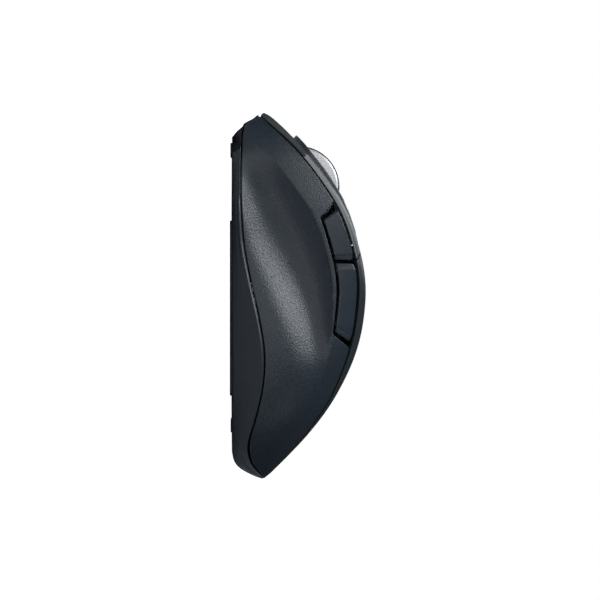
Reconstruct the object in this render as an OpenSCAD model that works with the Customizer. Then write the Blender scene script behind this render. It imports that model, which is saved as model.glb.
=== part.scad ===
// Wireless five-button mouse for the right hand.
// Origin: middle of the footprint, on the desk. +Y points to the front lip, +X to the right, +Z up.
// The skin is a set of guide curves that run from the front lip to the rear lip. Every cover is a
// patch of that skin, given a wall thickness, so that the seams are the guide curves themselves.

/* [Body] */
// Wall thickness of the covers
wall = 1.8; // [1.6:0.1:2.0]
// Gap between the main buttons and the covers beside them, each side of the seam
seam = 0.3; // [0.25:0.05:0.35]
// Height of the glide feet
foot_h = 0.6; // [0.5:0.1:0.7]

/* [Wheel] */
// Outer radius of the rubber tread
wheel_r = 13.4; // [13.0:0.1:13.5]
// Width of the wheel over its two silver faces
wheel_w = 7.4; // [6.8:0.1:7.6]
// Clearance around the wheel in its slot
wheel_gap = 0.7; // [0.6:0.1:0.8]

/* [Side buttons] */
// How far the side buttons stand out of the grip
side_proud = 0.5; // [0.3:0.1:0.7]
// Thickness of the side button caps
side_t = 2.0; // [1.8:0.1:2.2]
// How much further the side buttons' upper edges stand out than their lower edges
side_turn = 0.9; // [0.6:0.1:1.0]

/* [Battery] */
// Radius of the AA cell
cell_r = 7.1; // [7.0:0.05:7.15]
// Length of the AA cell
cell_l = 49.5; // [49.2:0.1:50]

/* [Hidden] */
$fn = 48;

// ---- guide curves: [y, distance out from the middle plane, z], front to rear ----
left_lower = [[58.2, 20.5, 9.4], [57.3, 22.7, 8.2], [55.4, 25.4, 4.95], [54, 26.9, 4.25], [46, 31.0, 3.75],
              [37, 33.2, 3.65], [27, 35.0, 3.9], [16, 35.6, 4.75], [4, 36.8, 7.0], [-8, 38.1, 9.75],
              [-19, 38.5, 11.3], [-29, 37.9, 10.7], [-39, 35.6, 8.4], [-48, 30.4, 5.95], [-54, 23.0, 6.95],
              [-57.6, 15.6, 9.5], [-59.2, 9.6, 10.6]];
left_upper = [[58.2, 20.5, 10.0], [57.0, 22.3, 11.1], [55, 24.0, 13.0], [50.5, 26.3, 17.8], [44, 27.6, 23.9],
              [35, 27.4, 30.6], [27, 26.9, 35.4], [17, 25.9, 39.1], [6, 24.8, 41.2], [-4, 24.2, 40.9],
              [-15, 23.6, 39.1], [-25, 22.3, 35.9], [-35, 20.0, 31.2], [-45, 16.7, 24.2], [-52, 13.4, 18.2],
              [-57, 10.4, 13.5], [-59.2, 8.6, 10.8]];
right_lower = [[58.2, 20.5, 9.4], [57.3, 22.7, 8.2], [55.4, 25.4, 4.95], [54, 26.9, 4.25], [46, 31.4, 3.75],
               [37, 33.5, 3.6], [27, 34.6, 3.7], [16, 35.2, 4.1], [4, 36.2, 5.0], [-8, 37.5, 6.4],
               [-19, 38.4, 7.6], [-29, 38.3, 7.9], [-39, 35.9, 7.1], [-48, 30.6, 5.9], [-54, 23.2, 6.95],
               [-57.6, 15.7, 9.5], [-59.2, 9.6, 10.6]];
right_upper = [[58.2, 20.5, 10.0], [57.0, 22.3, 11.0], [55, 24.2, 12.8], [50.5, 27.0, 17.4], [44, 29.0, 22.9],
               [35, 30.2, 28.0], [27, 30.6, 31.0], [17, 30.5, 33.0], [6, 30.2, 33.8], [-4, 29.7, 33.4],
               [-15, 28.7, 31.7], [-25, 26.8, 29.0], [-35, 23.6, 25.2], [-45, 18.8, 20.1], [-52, 14.8, 15.9],
               [-57, 11.0, 12.6], [-59.2, 8.8, 10.8]];
// Height of the crest and of the underside along the length: [y, z]
crest_line = [[58.2, 10.4], [57.7, 11.6], [56.8, 13.0], [55.4, 14.8], [52.2, 18.7], [49, 22.3], [44, 26.7],
              [40, 29.9], [35, 33.4], [31.5, 35.7], [25, 38.8], [18, 41.0], [10, 42.9], [2, 43.7],
              [-6, 43.25], [-14, 41.85], [-22, 39.25], [-30, 35.4], [-38, 30.5], [-46, 24.2], [-52, 18.5],
              [-57, 13.1], [-59.2, 10.3]];
belly_line = [[58.2, 8.6], [57.2, 7.5], [56.4, 6.6], [55.5, 5.4], [54.5, 4.1], [53.3, 2.6], [52.3, 1.6],
              [51.6, 1.1], [50.9, foot_h], [50.2, foot_h], [49.8, foot_h], [0, foot_h], [-49, foot_h],
              [-50, foot_h], [-53.5, 1.3], [-55.5, 2.7], [-57.2, 5.0], [-58.5, 7.8], [-59.2, 10.0]];
// Outward swell of the side grips, and depth of the thumb scoop in the left one: [y, depth]
left_swell = [[58.2, 0], [50, 0.8], [42, 1.4], [30, 1.9], [18, 2.1], [4, 2.3], [-10, 3.0], [-24, 4.0],
              [-38, 4.2], [-48, 3.2], [-55, 1.5], [-59.2, 0]];
right_swell = [[58.2, 0], [50, 0.9], [42, 1.2], [30, 1.1], [18, 1.0], [4, 1.4], [-10, 2.2], [-24, 3.0],
               [-38, 3.3], [-48, 2.6], [-55, 1.3], [-59.2, 0]];
scoop_depth = [[58.2, 0], [48, 0], [40, 1.8], [32, 4.2], [24, 5.4], [14, 5.6], [4, 5.2], [-6, 4.4],
               [-14, 3.0], [-22, 1.4], [-30, 0.4], [-38, 0], [-59.2, 0]];
// How low the scoop's flank sits: below 1 it starts straight from the lower edge
scoop_power = [[58.2, 0.6], [30, 0.6], [20, 0.72], [8, 0.95], [-4, 1.25], [-14, 1.4], [-59.2, 1.4]];
// Where the scoop's upper crease lies, as a share of the way up the grip
scoop_top = [[58.2, 0.5], [46, 0.5], [34, 0.63], [26, 0.70], [14, 0.735], [-4, 0.735], [-16, 0.715],
             [-59.2, 0.7]];
// Top edge of the left grip around the side buttons, as a share of the way up the grip
notch_line = [[60, 1], [30.2, 1], [24.9, 0.771], [11, 0.786], [1.3, 0.787], [-12.5, 0.747], [-16.8, 1],
              [-60, 1]];
// How far the base stands out past the grips' lower edges, and how much its wall leans in
base_ledge = [[58.2, 0], [48, 0], [34, 0.1], [31.5, 0.6], [18, 0.8], [0, 0.7], [-20, 0.6], [-32, 0.4],
              [-45, 0.1], [-59.2, 0]];
base_lean = [[58.2, 0.2], [54, 2.4], [49, 4.0], [47, 1.3], [40, 1.4], [10, 2.0], [-15, 2.8], [-35, 2.4],
             [-50, 1.0], [-59.2, 0.2]];
// Rise of the wheel bezel over the buttons, and depth of the finger channels: [y, height]
bezel_rise = [[53, 3.3], [48, 2.3], [44, 2.0], [35, 1.5], [27, 0.7], [17, 0.35], [14, 0.3]];
channel_depth = [[58.2, 0.2], [50, 0.8], [38, 0.9], [26, 0.4], [16, 0], [-60, 0]];

front_bow = 1.8;      // how far the middle of the top's front lip stands ahead of its corners
chin_bow = 0.8;       // the same for the base under it
rear_bow = 0.8;       // the same at the rear lip
lip_front = 58.2;     // y of the front lip's corners
lip_front_x = 20.5;   // distance of those corners from the middle plane
lip_rear = -59.2;     // y of the rear lip's corners
lip_rear_x = 12;
lip_relief = 0.3;     // extra side clearance of the main buttons near the front lip
crest_share = 0.27;   // where the crest lies across the top, from the left seam
channel_x = 17;       // middle of each finger channel
channel_half = 8;     // half width of a finger channel
press_a = 32;         // angle below level at which the side buttons travel
button_gap = 0.7;     // gap under the side buttons
button_head = 1.2;    // gap over the side buttons, up to the top seam
fit = 0.05;           // running clearance of pins and shafts, each side

mode_y = 24.5;        // middle of the mode button
mode_stem_y = 22.4;
mode_w = 7.2;
mode_l = 8.2;
light_r = 0.8;
mode_switch_z = 32.0;
light_y = 31;
wheel_y = 35.7;
wheel_z = 22.0;
axle_r = 1.6;
bezel_half = 7.6;     // half width of the wheel bezel
bezel_nose = 52.8;    // y of its front end
bezel_tail = 17.0;    // y of its rear end, where the palm cover starts
hinge_x = 11.5;       // hinges of the main buttons
hinge_y = 18.5;
hinge_z = 33.2;
hinge_pin_r = 1.0;
knuckle_r = 1.8;      // outside of the hinge knuckles
pivot_y = 19;         // pivot of the wheel carrier
pivot_z = 14;
pivot_r = 1.2;
board_z = 4.2;        // underside of the main board
board_t = 1.6;
cell_x = 10;          // the cell lies beside the middle plane
cell_y = -47.5;       // its rear end
cell_z = 10.2;
door_x = 10;          // battery door, centred under the cell
door_half = 10;
door_hinge_y = -45;
door_hinge_z = 1.35;
door_pin_r = 0.5;
door_front = 6.0;     // its front edge

// ---- small functions ----
function lerp(a, b, t) = a + (b - a) * t;
function clamp01(t) = min(1, max(0, t));
function smooth(t) = let(c = clamp01(t)) c * c * (3 - 2 * c);
function span(a, b, n) = [for (i = [0 : n]) a + (b - a) * i / n];
function last(v) = v[len(v) - 1];
// Smooth curve through knots [y, ...] given front to rear, evaluated at y
function knot(k, y, i = 0) = (i >= len(k) - 2 || y >= k[i + 1][0]) ? i : knot(k, y, i + 1);
function slope(k, i) = let(a = k[max(i - 1, 0)], b = k[min(i + 1, len(k) - 1)]) (b - a) / (b[0] - a[0]);
function curve(k, y) =
    let(i = knot(k, y), a = k[i], b = k[i + 1], h = b[0] - a[0],
        t = clamp01((y - a[0]) / h), t2 = t * t, t3 = t2 * t)
    a * (2 * t3 - 3 * t2 + 1) + slope(k, i) * h * (t3 - 2 * t2 + t) + b * (3 * t2 - 2 * t3)
    + slope(k, i + 1) * h * (t3 - t2);
// Straight lines through knots
function line(k, y) =
    let(i = knot(k, y), a = k[i], b = k[i + 1])
    lerp(a[1], b[1], clamp01((y - a[0]) / (b[0] - a[0])));

// 1 at the lips and 0 over the body, signed by the end: walls there are offset along y
function ending(y) = sign(y) * smooth((abs(y) - 50) / 8.5);
// The lips bow forward and back in plan
function bow(x, y) = y > 0
    ? front_bow * smooth((y - 46) / 12.2) * (1 - pow(min(1, abs(x) / lip_front_x), 2))
    : -rear_bow * smooth((-y - 46) / 13.2) * (1 - pow(min(1, abs(x) / lip_rear_x), 2));
function base_bow(x, y) = y > 0
    ? chin_bow * smooth((y - 54) / 4.2) * (1 - pow(min(1, abs(x) / lip_front_x), 2))
    : bow(x, y);

// ---- side grips ----
function lower(s, y) = curve(s < 0 ? left_lower : right_lower, y);
function upper(s, y) = curve(s < 0 ? left_upper : right_upper, y);
function grip_len(s, y) = let(d = upper(s, y) - lower(s, y)) max(0.8, norm([d[1], d[2]]));
function scoop(v, power) = v <= 0 || v >= 1 ? 0 : let(w = pow(v, power)) 6.75 * w * w * (1 - w);
// Point of the left (s = -1) or right (s = 1) grip at height share v
function grip(s, y, v) =
    let(lo = lower(s, y), up = upper(s, y), d = (up - lo) / grip_len(s, y),
        swell = curve(s < 0 ? left_swell : right_swell, y)[1] * sin(180 * clamp01(v)),
        dip = s < 0 ? curve(scoop_depth, y)[1] * scoop(v / curve(scoop_top, y)[1], curve(scoop_power,
            y)[1]) : 0,
        out = swell - dip)
    [s * (lerp(lo[1], up[1], v) + d[2] * out), y, lerp(lo[2], up[2], v) - d[1] * out];
// Inward direction of the grip's wall: level at the bottom, straight down at the top seam
function grip_in(s, y, v) =
    let(a = 90 * pow(clamp01(v), 4), e = ending(y))
    [-s * cos(a) * (1 - 0.4 * abs(e)), -e, -sin(a) * (1 - abs(e))];
function grip_top(s, y) = (s < 0 ? line(notch_line, y) : 1) - seam / grip_len(s, y);
function grip_foot(s, y) = (seam - 0.05) / grip_len(s, y);

// ---- top skin ----
function crown(w) = pow(max(0, 1 - pow(abs(2 * clamp01(w) - 1), 2.4)), 0.62);
function crest(y) = curve(crest_line, y)[1];
function dish(t) = abs(t) < 1 ? pow(1 - t * t, 2) : 0;
function top_z(x, y) =
    let(l = upper(-1, y), r = upper(1, y), w = (x + l[1]) / (l[1] + r[1]),
        rise = (crest(y) - lerp(l[2], r[2], crest_share)) / crown(crest_share))
    lerp(l[2], r[2], clamp01(w)) + rise * crown(w)
    - curve(channel_depth, y)[1] * dish((abs(x) - channel_x) / channel_half);
function top(x, y) = [x, y + bow(x, y), top_z(x, y)];
function top_in(y) = let(e = ending(y)) [0, -e, -(1 - abs(e))];
// The inside of a main button narrows towards its side seam, so that it clears the grip as it tips
function tuck(x) = x - sign(x) * 1.2 * smooth((abs(x) - 9) / 8);
// The palm cover's front edge, further forward in the middle
function palm_edge(x) = bezel_tail - 5.4 * pow(min(1, abs(x) / 25), 2);
// Half width of the wheel bezel, round at the nose
function bezel_w(y) = bezel_half * pow(max(0, 1 - pow(max(0, (y - 44) / (bezel_nose - 44)), 2.6)), 0.5);
function bezel_z(x, y) = crest(y) + curve(bezel_rise, y)[1] - 0.35 * pow(x / bezel_half, 2);

// ---- solids from grids ----
function flatten(g) = [for (row = g) for (p = row) p];
// Closed shell between two grids of points of the same size
module shell(outer, inner, flip = false) {
    m = len(outer);
    n = len(outer[0]);
    o = function (i, j) i * n + j;
    q = function (i, j) m * n + i * n + j;
    quad = function (a, b, c, d) [[a, b, c], [a, c, d]];
    faces = concat(
        [for (i = [0 : m - 2], j = [0 : n - 2])
            each quad(o(i, j), o(i, j + 1), o(i + 1, j + 1), o(i + 1, j))],
        [for (i = [0 : m - 2], j = [0 : n - 2])
            each quad(q(i, j), q(i + 1, j), q(i + 1, j + 1), q(i, j + 1))],
        [for (j = [0 : n - 2]) each quad(o(0, j + 1), o(0, j), q(0, j), q(0, j + 1))],
        [for (j = [0 : n - 2]) each quad(o(m - 1, j), o(m - 1, j + 1), q(m - 1, j + 1), q(m - 1, j))],
        [for (i = [0 : m - 2]) each quad(o(i, 0), o(i + 1, 0), q(i + 1, 0), q(i, 0))],
        [for (i = [0 : m - 2]) each quad(o(i + 1, n - 1), o(i, n - 1), q(i, n - 1), q(i + 1, n - 1))]);
    polyhedron(concat(flatten(outer), flatten(inner)),
               flip ? [for (f = faces) [f[2], f[1], f[0]]] : faces, convexity = 8);
}
module rounded_plate(size, r, h) {
    linear_extrude(h) offset(r) square([size[0] - 2 * r, size[1] - 2 * r], center = true);
}
module bar(x0, x1, y0, y1, z0, z1) {
    translate([x0, y0, z0]) cube([x1 - x0, y1 - y0, z1 - z0]);
}
// Cylinder along X
module rod(r, x0, x1, y, z) {
    translate([x0, y, z]) rotate([0, 90, 0]) cylinder(r = r, h = x1 - x0);
}
module post(x, y, z0, z1, r) {
    translate([x, y, z0]) cylinder(r = r, h = z1 - z0);
}

// ---- covers ----
grip_rows_left = concat(span(57.8, 55, 3), span(53, 31.5, 6), span(30.2, 24.9, 3), span(21.5, -9, 9),
                        span(-12.5, -16.8, 3), span(-20, -50, 8), span(-52.5, -58.6, 4));
grip_rows_right = concat(span(57.8, 55, 3), span(52, 30, 5), span(25, -45, 12), span(-48.5, -58.6, 5));

module grip_shell(s, rows, cols) {
    outer = [for (y = rows) [for (j = [0 : cols])
        grip(s, y, lerp(grip_foot(s, y), grip_top(s, y), j / cols))]];
    inner = [for (i = [0 : len(rows) - 1]) [for (j = [0 : cols])
        let(y = rows[i], v = lerp(grip_foot(s, y), grip_top(s, y), j / cols))
        outer[i][j] + wall * grip_in(s, y, v)]];
    shell(outer, inner, s > 0);
}
module left_grip() {
    color([0.16, 0.18, 0.21]) grip_shell(-1, grip_rows_left, 9);
}
module right_grip() {
    color([0.16, 0.18, 0.21]) grip_shell(1, grip_rows_right, 8);
}

// One row of the base across the body, outside or inside, left to right
function base_side(s, y, t) =
    let(q = lower(s, y), u = curve(belly_line, y)[1],
        xr = q[1] + curve(base_ledge, y)[1], zr = q[2] - seam + 0.05,
        lean = curve(base_lean, y)[1], h = max(0.2, zr - u),
        e = abs(ending(y)), tx = t * (1 - 0.4 * e), tz = t * (1 - e))
    [[xr - tx, zr],
     [xr - 0.5 * lean - tx, u + 0.55 * h + 0.2 * tz],
     [xr - lean - 0.1 - tx, u + 0.2 * h + 0.55 * tz],
     [xr - lean - 0.9 - tx, u + 0.05 * h + 0.9 * tz],
     [xr - lean - 2.0 - tx, u + tz],
     [0.5 * xr - 0.4 * tx, u + tz]];
function base_row(y, t) =
    let(l = base_side(-1, y, t), r = base_side(1, y, t), n = len(l), e = ending(y),
        half = concat([for (p = l) [-p[0], p[1]]], [[0, last(l)[1]]], [for (i = [n - 1 : -1 : 0]) r[i]]))
    [for (p = half) [p[0], y + base_bow(p[0], y) - t * e, p[1]]];
base_rows = concat(span(lip_front, 54.2, 4), [52.6, 50.8, 49.8], span(47, -47, 18), [-50, -52.4],
                   span(-54.4, lip_rear, 4));
screw_spots = [[-14, 6.5], [-14, -24], [24.5, 6.5]];
screw_head_r = 2.2;
screw_r = 0.88;
screw_top = 14;
board_peg_x = 19;     // pegs that carry the main board
board_peg_y = [18, 44];
sensor_y = 17;
slider_x = -22;       // power slider
floor_top = 3.2;      // cuts through the base's floor end here

module base_shell() {
    color([0.13, 0.15, 0.17]) difference() {
        union() {
            shell([for (y = base_rows) base_row(y, 0)], [for (y = base_rows) base_row(y, wall)], true);
            for (p = screw_spots) post(p[0], p[1], 2, 6, 3);
            for (x = [-board_peg_x, board_peg_x], y = board_peg_y) post(x, y, 2, board_z, 1.6);
        }
        for (p = screw_spots) {
            post(p[0], p[1], -1, 7, 1.3);
            post(p[0], p[1], -1, floor_top, screw_head_r + 0.2);
        }
        bar(door_x - door_half - 0.3, door_x + door_half + 0.3, door_hinge_y - 1.4, door_front + 0.3,
            -1, floor_top);
        rod(door_pin_r + fit, door_x - door_half - 1.6, door_x + door_half + 1.6, door_hinge_y, door_hinge_z);
        bar(-5.2, 5.2, sensor_y - 4.2, sensor_y + 4.2, -1, floor_top);
        bar(slider_x - 2.2, slider_x + 2.2, -4.2, 4.2, -1, floor_top);
    }
}

// Columns of a main button, from its outer edge (0) to its inner edge (1)
function button_x(s, y, c) =
    let(outside = upper(s, y)[1] - seam - lip_relief * smooth((y - 50) / 6), inside = bezel_w(y) + seam)
    s * lerp(outside, inside, c);
function button_edge(s, c) = palm_edge(button_x(s, 14, c)) + seam;
button_steps = concat(span(0, 0.1, 5), [0.115, 0.125, 0.135, 0.15, 0.175, 0.2], span(0.24, 1, 11));
module main_button(s) {
    cols = 8;
    grid = [for (q = button_steps) [for (j = [0 : cols])
        let(c = 0.5 - 0.5 * cos(180 * j / cols), y = lerp(lip_front, button_edge(s, c), q))
        [button_x(s, y, c), y]]];
    outer = [for (row = grid) [for (p = row) top(p[0], p[1])]];
    inner = [for (row = grid) [for (p = row) top(tuck(p[0]), p[1]) + wall * top_in(p[1])]];
    lug_half = 1.4;
    lug_top = top_z(s * hinge_x, hinge_y) - 1;
    stem_y = 45;
    stem_top = top_z(s * channel_x, stem_y) - 1;
    switch_top = board_z + board_t + 8.1;
    color([0.17, 0.19, 0.20]) difference() {
        union() {
            shell(outer, inner, s > 0);
            bar(s * hinge_x - lug_half, s * hinge_x + lug_half, hinge_y - knuckle_r, hinge_y + knuckle_r,
                hinge_z, lug_top);
            rod(knuckle_r, s * hinge_x - lug_half, s * hinge_x + lug_half, hinge_y, hinge_z);
            post(s * channel_x, stem_y, switch_top, stem_top, 1.5);
        }
        rod(hinge_pin_r + fit, s * hinge_x - 2, s * hinge_x + 2, hinge_y, hinge_z);
    }
}
module left_button() { main_button(-1); }
module right_button() { main_button(1); }

palm_steps = concat(span(0, 0.8, 12), span(0.85, 1, 5));
module palm_cover() {
    cols = 14;
    grid = [for (q = palm_steps) [for (j = [0 : cols])
        let(c = 0.5 - 0.5 * cos(180 * j / cols),
            x0 = lerp(-upper(-1, 13)[1], upper(1, 13)[1], c),
            y = lerp(palm_edge(x0) - seam, lip_rear, q))
        [lerp(-upper(-1, y)[1] + seam, upper(1, y)[1] - seam, c), y]]];
    color([0.15, 0.17, 0.18])
        shell([for (row = grid) [for (p = row) top(p[0], p[1])]],
              [for (row = grid) [for (p = row) top(0.94 * p[0], p[1]) + wall * top_in(p[1])]]);
}

bezel_rows = concat([52.7, 52.5, 52.1, 51.4], span(50, 44, 4), span(41, bezel_tail + seam, 8));
module wheel_bezel() {
    cols = 6;
    depth = 4;
    slot_half = wheel_w / 2 + wheel_gap;
    grid = [for (y = bezel_rows) [for (j = [0 : cols]) [lerp(-1, 1, j / cols) * bezel_w(y), y]]];
    color([0.16, 0.18, 0.19]) difference() {
        shell([for (row = grid) [for (p = row) [p[0], p[1], bezel_z(p[0], p[1])]]],
              [for (row = grid) [for (p = row) [p[0], p[1], bezel_z(0, p[1]) - depth]]]);
        rod(wheel_r + wheel_gap, -slot_half, slot_half, wheel_y, wheel_z);
        translate([0, mode_y, 30]) rounded_plate([mode_w + 0.8, mode_l + 0.8], 2.2, 20);
        post(0, light_y, 30, 45, light_r + 0.1);
    }
}
module mode_button() {
    mode_top = bezel_z(0, mode_y) + 0.1;
    top_tilt = -19;
    hollow_top = mode_switch_z + 3.6;
    color([0.16, 0.18, 0.20]) {
        difference() {
            translate([0, mode_y, 30]) rounded_plate([mode_w, mode_l], 1.9, 16);
            translate([0, mode_y, mode_top]) rotate([top_tilt, 0, 0]) translate([-10, -10,
                0]) cube([20, 20, 12]);
            bar(-10, 10, 10, 40, 29, hollow_top);
        }
        post(0, mode_stem_y, mode_switch_z + 2.7, hollow_top + 0.4, 1.2);
    }
}
module status_light() {
    color([0.2, 0.5, 0.9]) post(0, light_y, 35.4, bezel_z(0, light_y) - 0.15, light_r);
}

// ---- side buttons ----
press = [cos(press_a), 0, -sin(press_a)];
plunger_r = 1.2;
// Point of a side button at length share q and height share c, moved out by o.
// Ends holds the y of its front and rear ends at the lower edge, then at the upper edge.
function side_low(y) = line(notch_line, y) + button_gap / grip_len(-1, y);
function side_high(y) = 1 - button_head / grip_len(-1, y);
function side_point(ends, q, c, o) =
    let(y = lerp(lerp(ends[0], ends[2], c), lerp(ends[1], ends[3], c), q),
        low = side_low(min(24.4, max(-12, y))), v = lerp(low, side_high(y), c))
    grip(-1, y, v) - press * (o + side_turn * (c - 0.5));
forward_ends = [24.1, 11.9, 27.4, 11.9];
back_ends = [10.6, -11.6, 10.6, -15.0];
// Bevels: [share of length, drop]
forward_profile = [[0, 0.35], [0.04, 0.05], [0.1, 0], [0.35, 0], [0.6, 0], [0.88, 0], [0.94, 0.35],
                   [1, 0.75]];
back_profile = [[0, 0.9], [0.04, 0.55], [0.08, 0], [0.3, 0], [0.5, 0], [0.7, 0], [0.9, 0], [0.95, 0.35],
                [1, 0.8]];

module side_button(ends, profile, tip) {
    cols = 4;
    outer = [for (f = profile) [for (j = [0 : cols]) side_point(ends, f[0], j / cols, side_proud - f[1])]];
    inner = [for (f = profile) [for (j = [0 : cols])
        let(a = lerp(press_a, 70, j / cols))
        side_point(ends, f[0], j / cols, side_proud) + side_t * [cos(a), 0, -sin(a)]]];
    shell(outer, inner);
    translate(tip) rotate([0, 90 + press_a, 0]) translate([0, 0, -0.4]) cylinder(r = plunger_r, h = 1.6);
}
forward_tip = side_point(forward_ends, 0.5, 0.5, side_proud - side_t + 0.2);
back_tip = side_point(back_ends, 0.5, 0.5, side_proud - side_t + 0.2);
module forward_button() { color([0.17, 0.19, 0.22]) side_button(forward_ends, forward_profile, forward_tip); }
module back_button() { color([0.17, 0.19, 0.22]) side_button(back_ends, back_profile, back_tip); }

module side_button_bracket() {
    rows = span(26, -14, 8);
    depth = 4.2;
    thickness = 1.2;
    outer = [for (y = rows) [for (j = [0 : 3]) grip(-1, y, lerp(0.80, 0.95, j / 3)) + depth * press]];
    inner = [for (row = outer) [for (p = row) p + thickness * press]];
    color([0.05, 0.05, 0.06]) difference() {
        shell(outer, inner);
        for (p = [forward_tip, back_tip])
            translate(p) rotate([0, 90 + press_a, 0]) cylinder(r = plunger_r + 0.7, h = 8);
    }
}
// Switches stand behind the bracket, square to the press direction
module press_block(p, depth, size) {
    translate(p) rotate([0, 90 + press_a, 0]) translate([-size[0] / 2, -size[1] / 2, depth]) cube(size);
}
module side_switch(p) {
    color([0.12, 0.12, 0.13]) press_block(p, 4.8, [5, 6.4, 3]);
    color([0.75, 0.2, 0.15]) press_block(p, 2.2, [1.6, 2.4, 2.7]);
}
module forward_switch() { side_switch(forward_tip); }
module back_switch() { side_switch(back_tip); }
module side_board() {
    color([0.05, 0.25, 0.12]) hull() {
        press_block(forward_tip, 8.2, [6.5, 10, 1]);
        press_block(back_tip, 8.2, [6.5, 10, 1]);
    }
}

// ---- wheel ----
module wheel_hub() {
    side = wheel_w / 2;
    face_r = 12.3;
    rim_r = 13.15;
    bevel = 0.8;
    seat_r = 11.6;
    seat_half = 2.3;
    // Outline of one half, from the tread's seat out to the face and in to the axle
    half = [[seat_r, seat_half], [rim_r, seat_half], [rim_r, side - bevel], [face_r, side], [7.7, side],
            [7.2, side - 0.5], [3.7, side - 0.5], [3.2, side], [axle_r, side]];
    color([0.78, 0.78, 0.80]) {
        translate([0, wheel_y, wheel_z]) rotate([0, 90, 0]) rotate_extrude($fn = 96)
            polygon(concat(half, [for (i = [len(half) - 1 : -1 : 0]) [half[i][0], -half[i][1]]]));
        rod(axle_r, -8.4, 9.2, wheel_y, wheel_z);
    }
}
module wheel_tread() {
    ribs = 48;
    seat_r = 11.65;
    half = 2.25;
    shoulder = 0.25;
    groove_half = 1.8;
    outline = [[seat_r, -half], [wheel_r - shoulder, -half], [wheel_r, shoulder - half],
               [wheel_r, half - shoulder], [wheel_r - shoulder, half], [seat_r, half]];
    color([0.07, 0.07, 0.08]) translate([0, wheel_y, wheel_z]) rotate([0, 90, 0]) difference() {
        rotate_extrude($fn = 96) polygon(outline);
        for (i = [0 : ribs - 1]) rotate(i * 360 / ribs)
            translate([wheel_r - 0.25, -0.25, -groove_half]) cube([1, 0.5, 2 * groove_half]);
    }
}
module wheel_carrier() {
    arm_x = 5.6;
    arm_half = 0.7;
    arm_top = wheel_z - 1;
    color([0.1, 0.1, 0.11]) difference() {
        union() {
            for (x = [-arm_x, arm_x]) {
                bar(x - arm_half, x + arm_half, pivot_y - 2, wheel_y + 3.2, wheel_z - 5, arm_top);
                bar(x - arm_half, x + arm_half, pivot_y - 2, pivot_y + 2, pivot_z - 2, arm_top);
                rod(2 * axle_r, x - arm_half, x + arm_half, wheel_y, wheel_z);
            }
            bar(-6, 6, pivot_y - 1.6, pivot_y + 1.4, pivot_z + 2, wheel_z - 3);
            bar(-9.6, -5, wheel_y - 3, wheel_y + 2.4, wheel_z - 8.1, wheel_z - 5);
            rod(pivot_r, -8.4, 8.4, pivot_y, pivot_z);
        }
        rod(axle_r + 0.06, -7, 7, wheel_y, wheel_z);
    }
}
module carrier_bracket() {
    ear_x = 7.7;
    ear_half = 0.9;
    ear_r = 2.6;
    board_top = board_z + board_t;
    color([0.12, 0.12, 0.13]) difference() {
        union() {
            for (x = [-ear_x, ear_x]) {
                bar(x - ear_half, x + ear_half, pivot_y - ear_r, pivot_y + ear_r, board_top, pivot_z);
                rod(ear_r, x - ear_half, x + ear_half, pivot_y, pivot_z);
            }
            bar(-8.6, 8.6, pivot_y - ear_r, pivot_y + ear_r, board_top, board_top + 1.2);
        }
        rod(pivot_r + fit, -9, 9, pivot_y, pivot_z);
    }
}
module wheel_encoder() {
    half = 4.8;
    color([0.2, 0.45, 0.3]) difference() {
        bar(8.2, 12.4, wheel_y - half, wheel_y + half, board_z + board_t, wheel_z + 3.6);
        rod(1.5 * axle_r, 7, 13, wheel_y, wheel_z);
    }
}
module carrier_spring() {
    coil_r = 1.4;
    wire_r = 0.25;
    turns = 5;
    z0 = board_z + board_t + 0.05;
    z1 = wheel_z - 5.2;
    color([0.7, 0.7, 0.72]) for (i = [0 : turns])
        translate([6.2, wheel_y, lerp(z0 + wire_r, z1 - wire_r, i / turns)])
            rotate_extrude($fn = 32) translate([coil_r, 0]) circle(r = wire_r, $fn = 16);
}

// ---- electronics ----
module main_board() {
    half = 22;
    rear = 10.5;
    front = 50;
    color([0.04, 0.22, 0.11]) difference() {
        union() {
            bar(-half, half, rear, front, board_z, board_z + board_t);
            bar(slider_x - 4, slider_x + 4.4, -8, rear + 0.1, board_z, board_z + board_t);
        }
        bar(-2.6, 2.6, sensor_y - 2.6, sensor_y + 2.6, board_z - 1, board_z + 3);
        for (x = [-board_peg_x, board_peg_x], y = board_peg_y) post(x, y, board_z - 1, board_z + 3, 1.0);
    }
}
module sensor_chip() {
    board_top = board_z + board_t;
    color([0.06, 0.06, 0.07]) bar(-4.6, 4.6, sensor_y - 4.4, sensor_y - 1.1, board_top, board_top + 2.2);
}
module sensor_lens() {
    window_z = 1.3;
    flange_z = 2.5;
    color([0.85, 0.87, 0.9]) union() {
        bar(-5.0, 5.0, sensor_y - 4.0, sensor_y + 4.0, window_z, window_z + 1);
        bar(-7.4, 7.4, sensor_y - 5.6, sensor_y + 5.6, flange_z, flange_z + 0.8);
        bar(-4.4, 4.4, sensor_y - 3.4, sensor_y + 3.4, window_z + 0.9, flange_z + 0.1);
    }
}
module microswitch(x, y) {
    width = 5.8;
    length = 12.8;
    height = 6.5;
    z = board_z + board_t;
    color([0.1, 0.1, 0.11]) bar(x - width / 2, x + width / 2, y - length / 2, y + length / 2, z, z + height);
    color([0.85, 0.85, 0.8]) bar(x - 0.8, x + 0.8, y - 1.6, y + 1.4, z + height - 0.1, z + height + 0.7);
}
module left_switch() { microswitch(-channel_x, 45.2); }
module right_switch() { microswitch(channel_x, 45.2); }
module wheel_switch() { microswitch(-8.6, 34); }
module mode_switch() {
    half_w = 2.8;
    half_l = 2.5;
    color([0.1, 0.1, 0.11])
        bar(-half_w, half_w, mode_stem_y - half_l, mode_stem_y + half_l, mode_switch_z, mode_switch_z + 2);
}
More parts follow.
